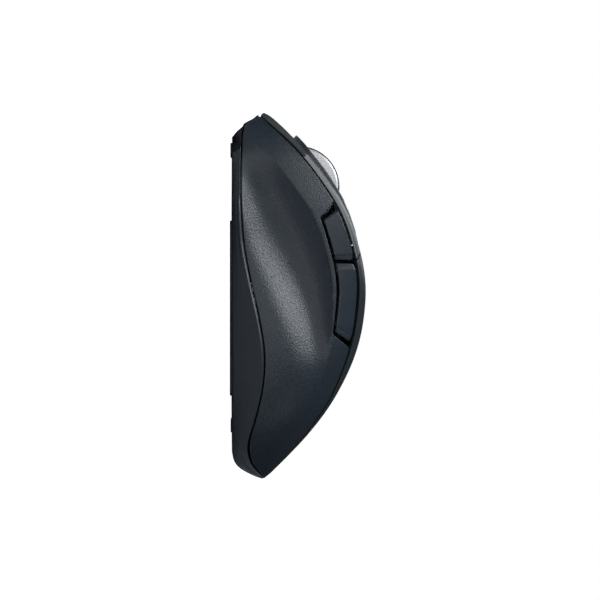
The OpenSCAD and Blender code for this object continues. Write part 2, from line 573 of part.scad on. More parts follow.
module mode_post() {
    color([0.1, 0.1, 0.11]) difference() {
        bar(-4, 4, hinge_y + 1, mode_stem_y + 2.6, mode_switch_z - 1.2, mode_switch_z);
        rod(wheel_r + wheel_gap, -5, 5, wheel_y, wheel_z);
    }
}

// ---- battery, door, power ----
module battery_tray() {
    side = 1.3;
    half_in = 7.9;
    rear_in = cell_y - 1.4;
    front_in = 4.4;
    floor_z = 3.3;
    color([0.1, 0.1, 0.11]) difference() {
        bar(cell_x - half_in - side, cell_x + half_in + side, rear_in - 1.2, front_in + 1.2, floor_z,
            cell_z + 3);
        bar(cell_x - half_in, cell_x + half_in, rear_in, front_in, floor_z - 1, cell_z + 8);
    }
}
module battery_cell() {
    nub_r = 2.7;
    nub_h = 1.0;
    color([0.1, 0.2, 0.5]) translate([cell_x, cell_y, cell_z]) rotate([-90, 0, 0]) {
        cylinder(r = cell_r, h = cell_l - nub_h);
        cylinder(r = nub_r, h = cell_l);
    }
}
module battery_spring() {
    wire_r = 0.22;
    color([0.75, 0.75, 0.76]) for (i = [0 : 2])
        translate([cell_x, cell_y - wire_r - 0.01 - 0.45 * i, cell_z]) rotate([90, 0, 0])
            rotate_extrude($fn = 32) translate([1.8 + 0.9 * i, 0]) circle(r = wire_r, $fn = 16);
}
module battery_contact() {
    half = 4;
    rear = cell_y + cell_l + 0.1;
    color([0.75, 0.75, 0.76]) bar(cell_x - half, cell_x + half, rear, rear + 0.4, cell_z - half,
                                  cell_z + half);
}
module battery_door() {
    left = door_x - door_half;
    right = door_x + door_half;
    pin_end = 1.2;
    color([0.13, 0.15, 0.17]) union() {
        bar(left, right, door_hinge_y, door_front, foot_h, 2.1);
        rod(0.75, left, right, door_hinge_y, door_hinge_z);
        rod(door_pin_r, left - pin_end, right + pin_end, door_hinge_y, door_hinge_z);
        // Finger ribs
        for (i = [0 : 3]) bar(door_x - 4, door_x + 4, -2 + 1.6 * i, -1.2 + 1.6 * i, foot_h - 0.25,
                              foot_h + 0.2);
    }
}
module power_knob() {
    rest_y = -1.6;
    color([0.8, 0.25, 0.1]) {
        bar(slider_x - 1.6, slider_x + 1.6, rest_y - 2, rest_y + 2, 1.0, 3.0);
        bar(slider_x - 0.6, slider_x + 0.6, rest_y - 0.6, rest_y + 0.6, 2.9, 4.0);
    }
}
module power_switch() {
    board_top = board_z + board_t;
    color([0.6, 0.6, 0.62]) bar(slider_x - 2.5, slider_x + 2.5, -4.5, 4.5, board_top, board_top + 2.4);
}
module receiver() {
    plug_rear = -30;
    color([0.08, 0.08, 0.09]) bar(-7.5, -1.2, plug_rear - 14, plug_rear, 6, 12);
    color([0.75, 0.75, 0.76]) bar(-6.9, -1.8, plug_rear - 0.1, plug_rear + 12, 6.6, 11.4);
}

// ---- feet, frame and fasteners ----
module front_feet() {
    color([0.35, 0.35, 0.36]) for (s = [-1, 1])
        translate([s * 15, 47, 0]) rounded_plate([14, 4.6], 2.2, foot_h);
}
module side_skates() {
    color([0.35, 0.35, 0.36]) for (s = [-1, 1])
        translate([s * 29.2, -4, 0]) rounded_plate([3.6, 56], 1.7, foot_h);
}
module rear_foot() { color([0.35, 0.35, 0.36]) translate([-10, -42, 0]) rounded_plate([16, 4.6], 2.2,
    foot_h); }
module top_frame() {
    deck_z = 29;
    deck_t = 1.8;
    side_deck_z = 26.4;
    cheek_x = 2.5;        // middle of a hinge cheek, from its hinge
    cheek_half = 0.8;
    color([0.09, 0.09, 0.1]) difference() {
        union() {
            bar(-14.7, 14.8, -6, hinge_y + 2, deck_z, deck_z + deck_t);
            bar(-14.7, 12, -26, -5.9, deck_z, deck_z + deck_t);
            bar(14.9, 26, 3.5, 10, side_deck_z, side_deck_z + 1.6);
            bar(13.2, 15, 3.5, 10, side_deck_z, deck_z + 1);
            for (s = [-1, 1]) {
                for (x = [s * hinge_x - cheek_x, s * hinge_x + cheek_x]) {
                    bar(x - cheek_half, x + cheek_half, hinge_y - knuckle_r, hinge_y + knuckle_r,
                        deck_z, hinge_z);
                    rod(knuckle_r, x - cheek_half, x + cheek_half, hinge_y, hinge_z);
                }
                rod(hinge_pin_r, s * hinge_x - cheek_x, s * hinge_x + cheek_x, hinge_y, hinge_z);
            }
            for (p = screw_spots) post(p[0], p[1], 6.1, p[0] > 20 ? side_deck_z + 0.6 : deck_z + 0.5, 2.6);
        }
        for (p = screw_spots) post(p[0], p[1], 5, screw_top + 0.6, screw_r + 0.02);
    }
}
module case_screws() {
    head_z = 1.6;
    socket_r = 0.7;
    color([0.6, 0.6, 0.62]) for (p = screw_spots) {
        difference() {
            post(p[0], p[1], head_z, head_z + 1.5, screw_head_r);
            post(p[0], p[1], 1, head_z + 0.7, socket_r);
        }
        post(p[0], p[1], 3.0, screw_top, screw_r);
    }
}

base_shell();
top_frame();
left_grip();
right_grip();
palm_cover();
left_button();
right_button();
wheel_bezel();
mode_button();
forward_button();
back_button();
side_button_bracket();
wheel_hub();
wheel_tread();
wheel_carrier();
carrier_bracket();
wheel_encoder();
carrier_spring();
main_board();
sensor_chip();
sensor_lens();
left_switch();
right_switch();
wheel_switch();
mode_switch();
mode_post();
side_board();
forward_switch();
back_switch();
battery_tray();
battery_cell();
battery_spring();
battery_contact();
battery_door();
power_knob();
power_switch();
receiver();
front_feet();
side_skates();
rear_foot();
case_screws();
status_light();
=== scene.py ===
"""Looks for the wireless mouse.

The CAD covers are remade as fine meshes on the same guide curves, with rounded seams, and every surface gets
a procedural finish. Lengths are in millimetres until a mesh is made, and in metres for the room, the lights
and the camera.
"""
from math import cos, pi, radians, sin

import bmesh
import bpy
import numpy as np
from mathutils import Matrix, Vector


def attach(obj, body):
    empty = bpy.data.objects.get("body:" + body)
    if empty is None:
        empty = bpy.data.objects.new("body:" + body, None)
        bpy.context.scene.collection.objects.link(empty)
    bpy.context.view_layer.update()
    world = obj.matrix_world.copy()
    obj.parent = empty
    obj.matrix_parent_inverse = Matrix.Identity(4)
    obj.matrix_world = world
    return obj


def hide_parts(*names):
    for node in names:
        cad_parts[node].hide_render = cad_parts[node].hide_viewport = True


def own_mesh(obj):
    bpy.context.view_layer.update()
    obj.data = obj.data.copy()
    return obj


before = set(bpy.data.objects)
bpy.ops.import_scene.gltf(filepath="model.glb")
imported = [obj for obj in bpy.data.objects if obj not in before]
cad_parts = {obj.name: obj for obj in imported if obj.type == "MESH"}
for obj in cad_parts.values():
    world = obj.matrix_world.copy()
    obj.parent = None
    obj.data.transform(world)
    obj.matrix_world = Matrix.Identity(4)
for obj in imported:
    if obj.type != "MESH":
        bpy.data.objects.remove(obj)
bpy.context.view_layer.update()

MM = 0.001

# ---- guide curves of the CAD model, front to rear ----
# The grips' lower and upper edges: side -> [y, half width, height]. Side -1 is the left.
LOWER = {
    -1: [[58.2, 20.5, 9.4], [57.3, 22.7, 8.2], [55.4, 25.4, 4.95], [54, 26.9, 4.25], [46, 31.0, 3.75],
         [37, 33.2, 3.65], [27, 35.0, 3.9], [16, 35.6, 4.75], [4, 36.8, 7.0], [-8, 38.1, 9.75],
         [-19, 38.5, 11.3], [-29, 37.9, 10.7], [-39, 35.6, 8.4], [-48, 30.4, 5.95], [-54, 23.0, 6.95],
         [-57.6, 15.6, 9.5], [-59.2, 9.6, 10.6]],
    1: [[58.2, 20.5, 9.4], [57.3, 22.7, 8.2], [55.4, 25.4, 4.95], [54, 26.9, 4.25], [46, 31.4, 3.75],
        [37, 33.5, 3.6], [27, 34.6, 3.7], [16, 35.2, 4.1], [4, 36.2, 5.0], [-8, 37.5, 6.4],
        [-19, 38.4, 7.6], [-29, 38.3, 7.9], [-39, 35.9, 7.1], [-48, 30.6, 5.9], [-54, 23.2, 6.95],
        [-57.6, 15.7, 9.5], [-59.2, 9.6, 10.6]],
}
UPPER = {
    -1: [[58.2, 20.5, 10.0], [57.0, 22.3, 11.1], [55, 24.0, 13.0], [50.5, 26.3, 17.8], [44, 27.6, 23.9],
         [35, 27.4, 30.6], [27, 26.9, 35.4], [17, 25.9, 39.1], [6, 24.8, 41.2], [-4, 24.2, 40.9],
         [-15, 23.6, 39.1], [-25, 22.3, 35.9], [-35, 20.0, 31.2], [-45, 16.7, 24.2], [-52, 13.4, 18.2],
         [-57, 10.4, 13.5], [-59.2, 8.6, 10.8]],
    1: [[58.2, 20.5, 10.0], [57.0, 22.3, 11.0], [55, 24.2, 12.8], [50.5, 27.0, 17.4], [44, 29.0, 22.9],
        [35, 30.2, 28.0], [27, 30.6, 31.0], [17, 30.5, 33.0], [6, 30.2, 33.8], [-4, 29.7, 33.4],
        [-15, 28.7, 31.7], [-25, 26.8, 29.0], [-35, 23.6, 25.2], [-45, 18.8, 20.1], [-52, 14.8, 15.9],
        [-57, 11.0, 12.6], [-59.2, 8.8, 10.8]],
}
# Heights of the top and of the underside along the mouse: [y, z]
FOOT_HEIGHT = 0.6
CREST = [[58.2, 10.4], [57.7, 11.6], [56.8, 13.0], [55.4, 14.8], [52.2, 18.7], [49, 22.3], [44, 26.7],
         [40, 29.9], [35, 33.4], [31.5, 35.7], [25, 38.8], [18, 41.0], [10, 42.9], [2, 43.7],
         [-6, 43.25], [-14, 41.85], [-22, 39.25], [-30, 35.4], [-38, 30.5], [-46, 24.2], [-52, 18.5],
         [-57, 13.1], [-59.2, 10.3]]
BELLY = [[58.2, 8.6], [57.2, 7.5], [56.4, 6.6], [55.5, 5.4], [54.5, 4.1], [53.3, 2.6], [52.3, 1.6],
         [51.6, 1.1], [50.9, FOOT_HEIGHT], [50.2, FOOT_HEIGHT], [49.8, FOOT_HEIGHT], [0, FOOT_HEIGHT],
         [-49, FOOT_HEIGHT], [-50, FOOT_HEIGHT], [-53.5, 1.3], [-55.5, 2.7], [-57.2, 5.0], [-58.5, 7.8],
         [-59.2, 10.0]]
# How far the grips bulge: side -> [y, depth]
SWELL = {
    -1: [[58.2, 0], [50, 0.8], [42, 1.4], [30, 1.9], [18, 2.1], [4, 2.3], [-10, 3.0], [-24, 4.0],
         [-38, 4.2], [-48, 3.2], [-55, 1.5], [-59.2, 0]],
    1: [[58.2, 0], [50, 0.9], [42, 1.2], [30, 1.1], [18, 1.0], [4, 1.4], [-10, 2.2], [-24, 3.0],
        [-38, 3.3], [-48, 2.6], [-55, 1.3], [-59.2, 0]],
}
# The thumb scoop in the left grip: its depth, the power that sets where it is deepest, and its upper edge as
# a share of the grip's height
SCOOP_DEPTH = [[58.2, 0], [48, 0], [40, 1.8], [32, 4.2], [24, 5.4], [14, 5.6], [4, 5.2], [-6, 4.4],
               [-14, 3.0], [-22, 1.4], [-30, 0.4], [-38, 0], [-59.2, 0]]
SCOOP_POWER = [[58.2, 0.6], [30, 0.6], [20, 0.72], [8, 0.95], [-4, 1.25], [-14, 1.4], [-59.2, 1.4]]
SCOOP_TOP = [[58.2, 0.5], [46, 0.5], [34, 0.63], [26, 0.70], [14, 0.735], [-4, 0.735], [-16, 0.715],
             [-59.2, 0.7]]
# Upper edge of the left grip round the thumb buttons, as a share of its height
NOTCH = [[60, 1], [30.2, 1], [24.9, 0.771], [11, 0.786], [1.3, 0.787], [-12.5, 0.747], [-16.8, 1], [-60, 1]]
# The base's side: how far it stands out past the grips, and how far it leans in towards the floor
LEDGE = [[58.2, 0], [48, 0], [34, 0.1], [31.5, 0.6], [18, 0.8], [0, 0.7], [-20, 0.6], [-32, 0.4],
         [-45, 0.1], [-59.2, 0]]
LEAN = [[58.2, 0.2], [54, 2.4], [49, 4.0], [47, 1.3], [40, 1.4], [10, 2.0], [-15, 2.8], [-35, 2.4],
        [-50, 1.0], [-59.2, 0.2]]
# Height of the wheel's bezel above the crest, and depth of the finger channels in the main buttons
BEZEL_RISE = [[53, 3.3], [48, 2.3], [44, 2.0], [35, 1.5], [27, 0.7], [17, 0.35], [14, 0.3]]
CHANNEL = [[58.2, 0.2], [50, 0.8], [38, 0.9], [26, 0.4], [16, 0], [-60, 0]]
# Width of the groove between the base and the grips. This one is the scene's own.
GROOVE = [[58.2, 0.05], [56, 0.1], [54.5, 0.2], [50, 0.2], [22, 0.2], [8, 0.15], [-8, 0.12], [-26, 0.15],
          [-40, 0.3], [-50, 0.5], [-59.2, 0.4]]

# ---- sizes of the CAD model ----
FRONT_BOW, CHIN_BOW, REAR_BOW = 1.8, 0.8, 0.8  # how far the lips and the base's front bow out in plan
LIP_FRONT, LIP_REAR = 58.2, -59.2  # y of the lips at their corners
FRONT_HALF, REAR_HALF = 20.5, 12  # half widths of the lips
BOW_START, FRONT_RUN, REAR_RUN = 46, 12.2, 13.2  # where the lips' bows begin, and the lengths they grow over
CHIN_START, CHIN_RUN = 54, 4.2  # the same for the base's front
CROWN_FLAT, CROWN_ROUND = 2.4, 0.62  # powers of the top's arch: flatness on top, roundness at the seams
CREST_SHARE = 0.27  # where the crest lies across the top, from the left seam
CHANNEL_X, CHANNEL_HALF = 17, 8  # middle and half width of the finger channels
PALM_BOW, PALM_HALF = 5.4, 25  # sweep of the palm cover's front edge
SEAM = 0.3  # gap between neighbouring covers
PRESS_ANGLE = radians(32)  # slope of the thumb buttons' travel
BUTTON_HEAD = 1.2  # gap above the thumb buttons
WHEEL_Y, WHEEL_Z, WHEEL_R, WHEEL_W, WHEEL_GAP = 35.7, 22.0, 13.4, 7.4, 0.7
BEZEL_HALF, BEZEL_ARCH = 7.6, 0.35
BEZEL_NOSE, BEZEL_TAPER, BEZEL_TAIL = 52.8, 44, 17.0  # y of its front, of where it narrows and of its rear
NOSE_POWER = 2.6  # bluntness of the bezel's front
MODE_Y, LIGHT_Y = 24.5, 31.0
DOOR_X, DOOR_HALF, DOOR_HINGE_Y = 10.0, 10.0, -45.0
SCREWS = [(-14, 6.5), (-14, -24), (24.5, 6.5)]

# ---- sizes of the scene's own ----
BASE_WALL = 1.6
BELLY_CUT = (-1, 3.2)  # heights between which openings are cut in the base
GRIP_RELIEF = 0.1  # how much lower than the seam the grips stop
COVER_INSET = 0.2  # how far the top covers stand in from the seam
BUTTON_GAP = 0.55  # gap under the thumb buttons
THUMB_HEIGHT = 6.5  # rough height of the thumb buttons
GRIP_UNDERCUT = 1.0  # how far the inside of a grip's upper edge stops short, below the main button
BUTTON_TUCK = 0.5  # how far the underside of a main button stops short at its front
BUTTON_LIP = [0, 0.9, -0.5]  # how far that underside's edge is drawn out and down, in front of the base
SHADED_SHARE = 0.29  # share of a main button's length, from its front, that is matte and painted darker: painted shade
CHIN_Y, CHIN_SLANT = 45.5, 0.65  # where the painted shade on the base's front, a near-black matte finish, ends at the floor, and its slant
PAD_EDGE = 0.18  # edge radius of the feet


# ---- the skin ----
def smooth(t):
    """Eases from 0 to 1 as t goes from 0 to 1."""
    c = np.clip(t, 0.0, 1.0)
    return c * c * (3 - 2 * c)


def curve(knots, y):
    """Smooth curve through knots [y, ...] at each y."""
    k = np.asarray(knots, float)
    y = np.asarray(y, float)
    here = np.arange(len(k))
    before, after = k[np.maximum(here - 1, 0)], k[np.minimum(here + 1, len(k) - 1)]
    slope = (after - before) / (after[:, :1] - before[:, :1])
    i = np.sum(y[..., None] < k[1:-1, 0], axis=-1)
    a, b = k[i], k[i + 1]
    h = (b - a)[..., :1]
    t = np.clip((y[..., None] - a[..., :1]) / h, 0, 1)
    return (a * (2 * t**3 - 3 * t**2 + 1) + slope[i] * h * (t**3 - 2 * t**2 + t)
            + b * (3 * t**2 - 2 * t**3) + slope[i + 1] * h * (t**3 - t**2))


def value(knots, y):
    """Smooth curve through knots [y, value]."""
    return curve(knots, y)[..., 1]


def straight(knots, y):
    """The same with straight lines between the knots."""
    k = np.asarray(knots, float)[::-1]
    return np.interp(y, k[:, 0], k[:, 1])


def bow(x, y):
    """How far the lips stand ahead of, or behind, their corners."""
    front = FRONT_BOW * smooth((y - BOW_START) / FRONT_RUN) * (1 - np.minimum(1, abs(x) / FRONT_HALF) ** 2)
    rear = REAR_BOW * smooth((-y - BOW_START) / REAR_RUN) * (1 - np.minimum(1, abs(x) / REAR_HALF) ** 2)
    return front - rear


def grip_length(side, y):
    """Distance between a grip's lower and upper edges at y."""
    d = (curve(UPPER[side], y) - curve(LOWER[side], y))[..., 1:]
    return np.maximum(0.8, np.hypot(d[..., 0], d[..., 1]))


def scoop(v, power):
    """Depth of the scoop over the grip's height, 1 at its deepest."""
    c = np.clip(v, 0, 1) ** power
    return 6.75 * c * c * (1 - c)


def grip(side, y, v):
    """Point of a side grip at y and height share v."""
    y, v = np.broadcast_arrays(np.asarray(y, float), np.asarray(v, float))
    lo, up = curve(LOWER[side], y), curve(UPPER[side], y)
    d = (up - lo) / grip_length(side, y)[..., None]
    out = value(SWELL[side], y) * np.sin(pi * np.clip(v, 0, 1))
    if side < 0:
        out = out - value(SCOOP_DEPTH, y) * scoop(v / value(SCOOP_TOP, y), value(SCOOP_POWER, y))
    x = lo[..., 1] + (up - lo)[..., 1] * v + d[..., 2] * out
    z = lo[..., 2] + (up - lo)[..., 2] * v - d[..., 1] * out
    return np.stack([side * x, y, z], axis=-1)


def crown(w):
    """Height of the top's arch across the mouse, 0 at both seams and 1 in the middle."""
    return np.maximum(0, 1 - abs(2 * np.clip(w, 0, 1) - 1) ** CROWN_FLAT) ** CROWN_ROUND


def top_z(x, y):
    """Height of the top covers."""
    left, right = curve(UPPER[-1], y), curve(UPPER[1], y)
    w = np.clip((x + left[..., 1]) / (left[..., 1] + right[..., 1]), 0, 1)
    seam_z = left[..., 2] * (1 - CREST_SHARE) + right[..., 2] * CREST_SHARE
    rise = (value(CREST, y) - seam_z) / crown(CREST_SHARE)
    dish = np.maximum(0, 1 - ((abs(x) - CHANNEL_X) / CHANNEL_HALF) ** 2) ** 2
    return left[..., 2] * (1 - w) + right[..., 2] * w + rise * crown(w) - value(CHANNEL, y) * dish


def top(x, y):
    """Point of the top covers, moved by the bow of the lips."""
    return np.stack([x, y + bow(x, y), top_z(x, y)], axis=-1)


def palm_edge(x):
    """y of the palm cover's front edge."""
    return BEZEL_TAIL - PALM_BOW * np.minimum(1, abs(x) / PALM_HALF) ** 2


def bezel_width(y):
    """Half width of the bezel, which closes to a rounded nose."""
    t = np.maximum(0, (y - BEZEL_TAPER) / (BEZEL_NOSE - BEZEL_TAPER))
    return BEZEL_HALF * np.sqrt(np.maximum(0, 1 - t**NOSE_POWER))


def bezel_z(x, y):
    """Height of the bezel, slightly arched across."""
    return value(CREST, y) + value(BEZEL_RISE, y) - BEZEL_ARCH * (x / BEZEL_HALF) ** 2


# ---- meshes ----
def make(name, points, faces, body, slot, material, sharp=40):
    """A piece from points in millimetres, riding on a body."""
    mesh = bpy.data.meshes.new(name)
    mesh.from_pydata((np.asarray(points, float) * MM).tolist(), [], faces)
    mesh.validate()
    fix = bmesh.new()
    fix.from_mesh(mesh)
    bmesh.ops.recalc_face_normals(fix, faces=fix.faces)
    fix.to_mesh(mesh)
    fix.free()
    for polygon in mesh.polygons:
        polygon.use_smooth = True
    mesh.set_sharp_from_angle(angle=radians(sharp))
    piece = bpy.data.objects.new(name, mesh)
    bpy.context.scene.collection.objects.link(piece)
    mesh.materials.append(material)
    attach(piece, body)
    return piece


def repaint(piece, material, where):
    """Gives a second finish to the faces that pass a test of their number and their middle in millimetres."""
    piece.data.materials.append(material)
    for polygon in piece.data.polygons:
        if where(polygon.index, polygon.center / MM):
            polygon.material_index = 1


def grid_faces(rows, cols, start=0, close_rows=False, close_cols=False):
    """Faces of a grid of points, which may close on itself either way."""
    i, j = np.meshgrid(np.arange(rows if close_rows else rows - 1),
                       np.arange(cols if close_cols else cols - 1), indexing="ij")
    i2, j2 = (i + 1) % rows, (j + 1) % cols
    quads = np.stack([i * cols + j, i * cols + j2, i2 * cols + j2, i2 * cols + j], axis=-1) + start
    return quads.reshape(-1, 4).tolist()


def grid_normals(grid):
    """Unit normal at every point of a grid."""
    du, dv = np.gradient(grid, axis=0), np.gradient(grid, axis=1)
    n = np.cross(du, dv)
    return n / np.maximum(np.linalg.norm(n, axis=-1, keepdims=True), 1e-9)


def rim_distance(grid, line):
    """Distance from every point of a grid to a polyline."""
    a, b = line[:-1], line[1:]
    d = b - a
    length2 = np.maximum(np.sum(d * d, axis=-1), 1e-12)
    best = np.full(grid.shape[:2], 1e9)
    for row in range(grid.shape[0]):
        p = grid[row][:, None, :] - a
        t = np.clip(np.sum(p * d, axis=-1) / length2, 0, 1)
        gap = p - t[..., None] * d
        best[row] = np.sqrt(np.sum(gap * gap, axis=-1)).min(axis=-1)
    return best


def rounding(distance, radius):
    """How far a rounded edge sinks at a distance from its rim."""
    arc = np.sqrt(np.maximum(radius**2 - (radius - distance) ** 2, 0))
    return np.where(distance < radius, radius - arc, 0)


def solid(outer, inner):
    """Points and faces of the solid between two grids of the same size."""
    rows, cols = outer.shape[:2]
    count = rows * cols
    points = np.concatenate([outer.reshape(-1, 3), inner.reshape(-1, 3)])
    faces = grid_faces(rows, cols) + [f[::-1] for f in grid_faces(rows, cols, count)]
    ring = ([(0, j) for j in range(cols)] + [(i, cols - 1) for i in range(1, rows)]
            + [(rows - 1, j) for j in range(cols - 2, -1, -1)] + [(i, 0) for i in range(rows - 2, 0, -1)])
    index = [i * cols + j for i, j in ring]
    faces += [[a, b, b + count, a + count] for a, b in zip(index, index[1:] + index[:1])]
    return points, faces


def wall(name, grid, body, slot, material, thickness=1.2, radius=0.35, drop=None, up=1, under=None):
    """A closed wall under a grid of points, with rounded edges. drop sinks its outer face, and up is the sign
    that turns its normals outward. under is the grid that its inner face hangs from, if that is another."""
    n = grid_normals(grid) * up
    sink = np.zeros(grid.shape[:2])
    for rim in (grid[0], grid[-1], grid[:, 0], grid[:, -1]):
        sink = np.maximum(sink, rounding(rim_distance(grid, rim), radius))
    if drop is not None:
        sink = np.maximum(sink, drop)
    deep = np.maximum(thickness, sink + 0.2)
    outer = grid - n * sink[..., None]
    inner = (grid if under is None else under) - n * deep[..., None]
    return make(name, *solid(outer, inner), body, slot, material)


def stations(length, count, near=0.4, far=0.4, steps=6):
    """Positions along a length, close together at both ends where the edges are rounded."""
    length = np.asarray(length, float)[..., None]
    ease = 1 - np.cos(np.linspace(0, pi / 2, steps))
    middle = near + (length - near - far) * np.linspace(0, 1, count)[1:-1]
    shape = length.shape[:-1] + (steps,)
    return np.concatenate([np.broadcast_to(near * ease, shape), middle, length - far * ease[::-1]], axis=-1)


def between(a, b, length_guess, count, near=0.4, far=0.4):
    """Shares of the way from a to b, clustered at both ends."""
    return a + (b - a) * stations(length_guess, count, near, far) / length_guess


def lathe(name, profile, centre, axis, body, slot, material, segments=96, sharp=30):
    """A turned piece: profile is (radius, along) pairs about the x or z axis."""
    a = np.linspace(0, 2 * pi, segments, endpoint=False)
    r = np.array([p[0] for p in profile])[:, None]
    t = np.broadcast_to(np.array([p[1] for p in profile])[:, None], (len(profile), segments))
    u, v = r * np.cos(a), r * np.sin(a)
    order = {"x": (t, u, v), "z": (u, v, t)}[axis]
    points = np.stack(order, axis=-1).reshape(-1, 3) + np.array(centre)
    faces = grid_faces(len(profile), segments, close_cols=True)
    if profile[0][0] > 0 and profile[0] != profile[-1]:
        faces.append(list(range(segments)))
        faces.append([(len(profile) - 1) * segments + i for i in range(segments)][::-1])
    return make(name, points, faces, body, slot, material, sharp)


def cut(piece, cutters):
    """Cuts solids out of a piece. Each cutter is (points, faces) in millimetres."""
    for number, (points, faces) in enumerate(cutters):
        mesh = bpy.data.meshes.new("cutter")
        mesh.from_pydata((np.asarray(points, float) * MM).tolist(), [], faces)
        fix = bmesh.new()
        fix.from_mesh(mesh)
        bmesh.ops.recalc_face_normals(fix, faces=fix.faces)
        fix.to_mesh(mesh)
        fix.free()
        tool = bpy.data.objects.new(f"cutter_{number}", mesh)
        bpy.context.scene.collection.objects.link(tool)
        modifier = piece.modifiers.new("cut", "BOOLEAN")
        modifier.operation = "DIFFERENCE"
        modifier.solver = "EXACT"
        modifier.object = tool
        bpy.context.view_layer.update()
        shaped = bpy.data.meshes.new_from_object(piece.evaluated_get(bpy.context.evaluated_depsgraph_get()))
        piece.modifiers.clear()
        old = piece.data
        piece.data = shaped
        bpy.data.objects.remove(tool)
        bpy.data.meshes.remove(mesh)
        bpy.data.meshes.remove(old)
    for polygon in piece.data.polygons:
        polygon.use_smooth = True
    piece.data.set_sharp_from_angle(angle=radians(35))


def prism(outline, low, high, axis="z"):
    """Cutter: an outline of (a, b) points drawn out along the z or x axis."""
    n = len(outline)
    place = {"z": lambda a, b, t: (a, b, t), "x": lambda a, b, t: (t, a, b)}[axis]
    points = [place(a, b, t) for t in (low, high) for a, b in outline]
    faces = [list(range(n))[::-1], [n + i for i in range(n)]]
    faces += [[i, (i + 1) % n, n + (i + 1) % n, n + i] for i in range(n)]
    return points, faces


def rounded(cx, cy, width, height, radius, steps=8):
    """Outline of a rectangle with round corners."""
    outline = []
    for k, (sx, sy) in enumerate(((1, 1), (-1, 1), (-1, -1), (1, -1))):
        for i in range(steps + 1):
            a = pi / 2 * (k + i / steps)
            outline.append((cx + sx * (width / 2 - radius) + radius * cos(a),
                            cy + sy * (height / 2 - radius) + radius * sin(a)))
    return outline


def circle(cx, cy, radius, steps=48):
    """Outline of a circle."""
    turns = [2 * pi * i / steps for i in range(steps)]
    return [(cx + radius * cos(a), cy + radius * sin(a)) for a in turns]


# ---- finishes ----
def finish(name, dark, light, roughness, grain, metallic=0.0, blotch=150.0, spread=0.06, coat=0.0,
           specular=0.5):
    """A moulded or metal finish: colour and gloss vary, and grain is a list of (texture, scale per metre,
    height in millimetres, weight)."""
    m = bpy.data.materials.new(name)
    m.use_nodes = True
    nodes, links = m.node_tree.nodes, m.node_tree.links
    shader = nodes["Principled BSDF"]
    shader.inputs["Metallic"].default_value = metallic
    shader.inputs["Coat Weight"].default_value = coat
    shader.inputs["Coat Roughness"].default_value = 0.2
    shader.inputs["Specular IOR Level"].default_value = specular
    where = nodes.new("ShaderNodeTexCoord").outputs["Object"]
    noise = nodes.new("ShaderNodeTexNoise")
    noise.inputs["Scale"].default_value = blotch
    noise.inputs["Detail"].default_value = 6
    links.new(where, noise.inputs["Vector"])
    ramp = nodes.new("ShaderNodeValToRGB")
    ramp.color_ramp.elements[0].position = 0.3
    ramp.color_ramp.elements[1].position = 0.7
    ramp.color_ramp.elements[0].color = (*dark, 1)
    ramp.color_ramp.elements[1].color = (*light, 1)
    links.new(noise.outputs["Fac"], ramp.inputs["Fac"])
    links.new(ramp.outputs["Color"], shader.inputs["Base Color"])
    span = nodes.new("ShaderNodeMapRange")
    span.inputs["To Min"].default_value = roughness - spread
    span.inputs["To Max"].default_value = roughness + spread
    links.new(noise.outputs["Fac"], span.inputs["Value"])
    links.new(span.outputs["Result"], shader.inputs["Roughness"])
    normal = None
    for kind, scale, height, weight in grain:
        texture = nodes.new({"noise": "ShaderNodeTexNoise", "cells": "ShaderNodeTexVoronoi"}[kind])
        texture.inputs["Scale"].default_value = scale
        links.new(where, texture.inputs["Vector"])
        bump = nodes.new("ShaderNodeBump")
        bump.inputs["Strength"].default_value = weight
        bump.inputs["Distance"].default_value = height * MM
        if kind == "cells":
            texture.feature = "SMOOTH_F1"
            texture.inputs["Smoothness"].default_value = 0.6
        if kind == "noise":
            texture.inputs["Detail"].default_value = 4
        links.new(texture.outputs["Distance" if kind == "cells" else "Fac"], bump.inputs["Height"])
        if normal:
            links.new(normal, bump.inputs["Normal"])
        normal = bump.outputs["Normal"]
    if normal:
        links.new(normal, shader.inputs["Normal"])
    return m


GRIP = finish("grip_leather_grain", (0.006, 0.010, 0.015), (0.010, 0.015, 0.022), 0.43,
              [("cells", 1800, 0.10, 0.6), ("noise", 2600, 0.06, 0.5)], blotch=900, spread=0.08)
SHELL = finish("satin_shell", (0.010, 0.014, 0.016), (0.014, 0.018, 0.021), 0.34,
               [("noise", 5200, 0.012, 0.5)], blotch=900, spread=0.05)
BASE = finish("base_moulding", (0.005, 0.009, 0.013), (0.008, 0.012, 0.017), 0.42,
              [("noise", 4200, 0.02, 0.5)], blotch=700)
BUTTON = finish("side_button_satin", (0.010, 0.014, 0.021), (0.014, 0.019, 0.028), 0.34,
                [("noise", 5200, 0.012, 0.4)], blotch=900)
# Painted shade: a darker, matte, weakly reflecting finish for the front of the main buttons, which lies in
# shade
FRONT_SHADE = finish("button_front_painted_shade", (0.007, 0.009, 0.010), (0.010, 0.012, 0.013), 0.6,
               [("noise", 5200, 0.012, 0.5)], blotch=900, spread=0.05, specular=0.1)
# Painted shade: a near-black, weakly reflecting finish for the base's front corner, which lies in shade
CHIN_SHADE = finish("base_front_painted_shade", (0.003, 0.003, 0.004), (0.005, 0.005, 0.007), 0.7,
              [("noise", 3000, 0.02, 0.5)], blotch=500, specular=0.2)
INNER = finish("inner_moulding", (0.003, 0.003, 0.0035), (0.005, 0.005, 0.006), 0.8,
               [("noise", 2600, 0.03, 0.5)], blotch=400, specular=0.15)
SILVER = finish("wheel_silver", (0.56, 0.53, 0.52), (0.58, 0.55, 0.54), 0.46,
                [("noise", 9000, 0.0003, 0.1)], metallic=1.0, blotch=300, spread=0.01)
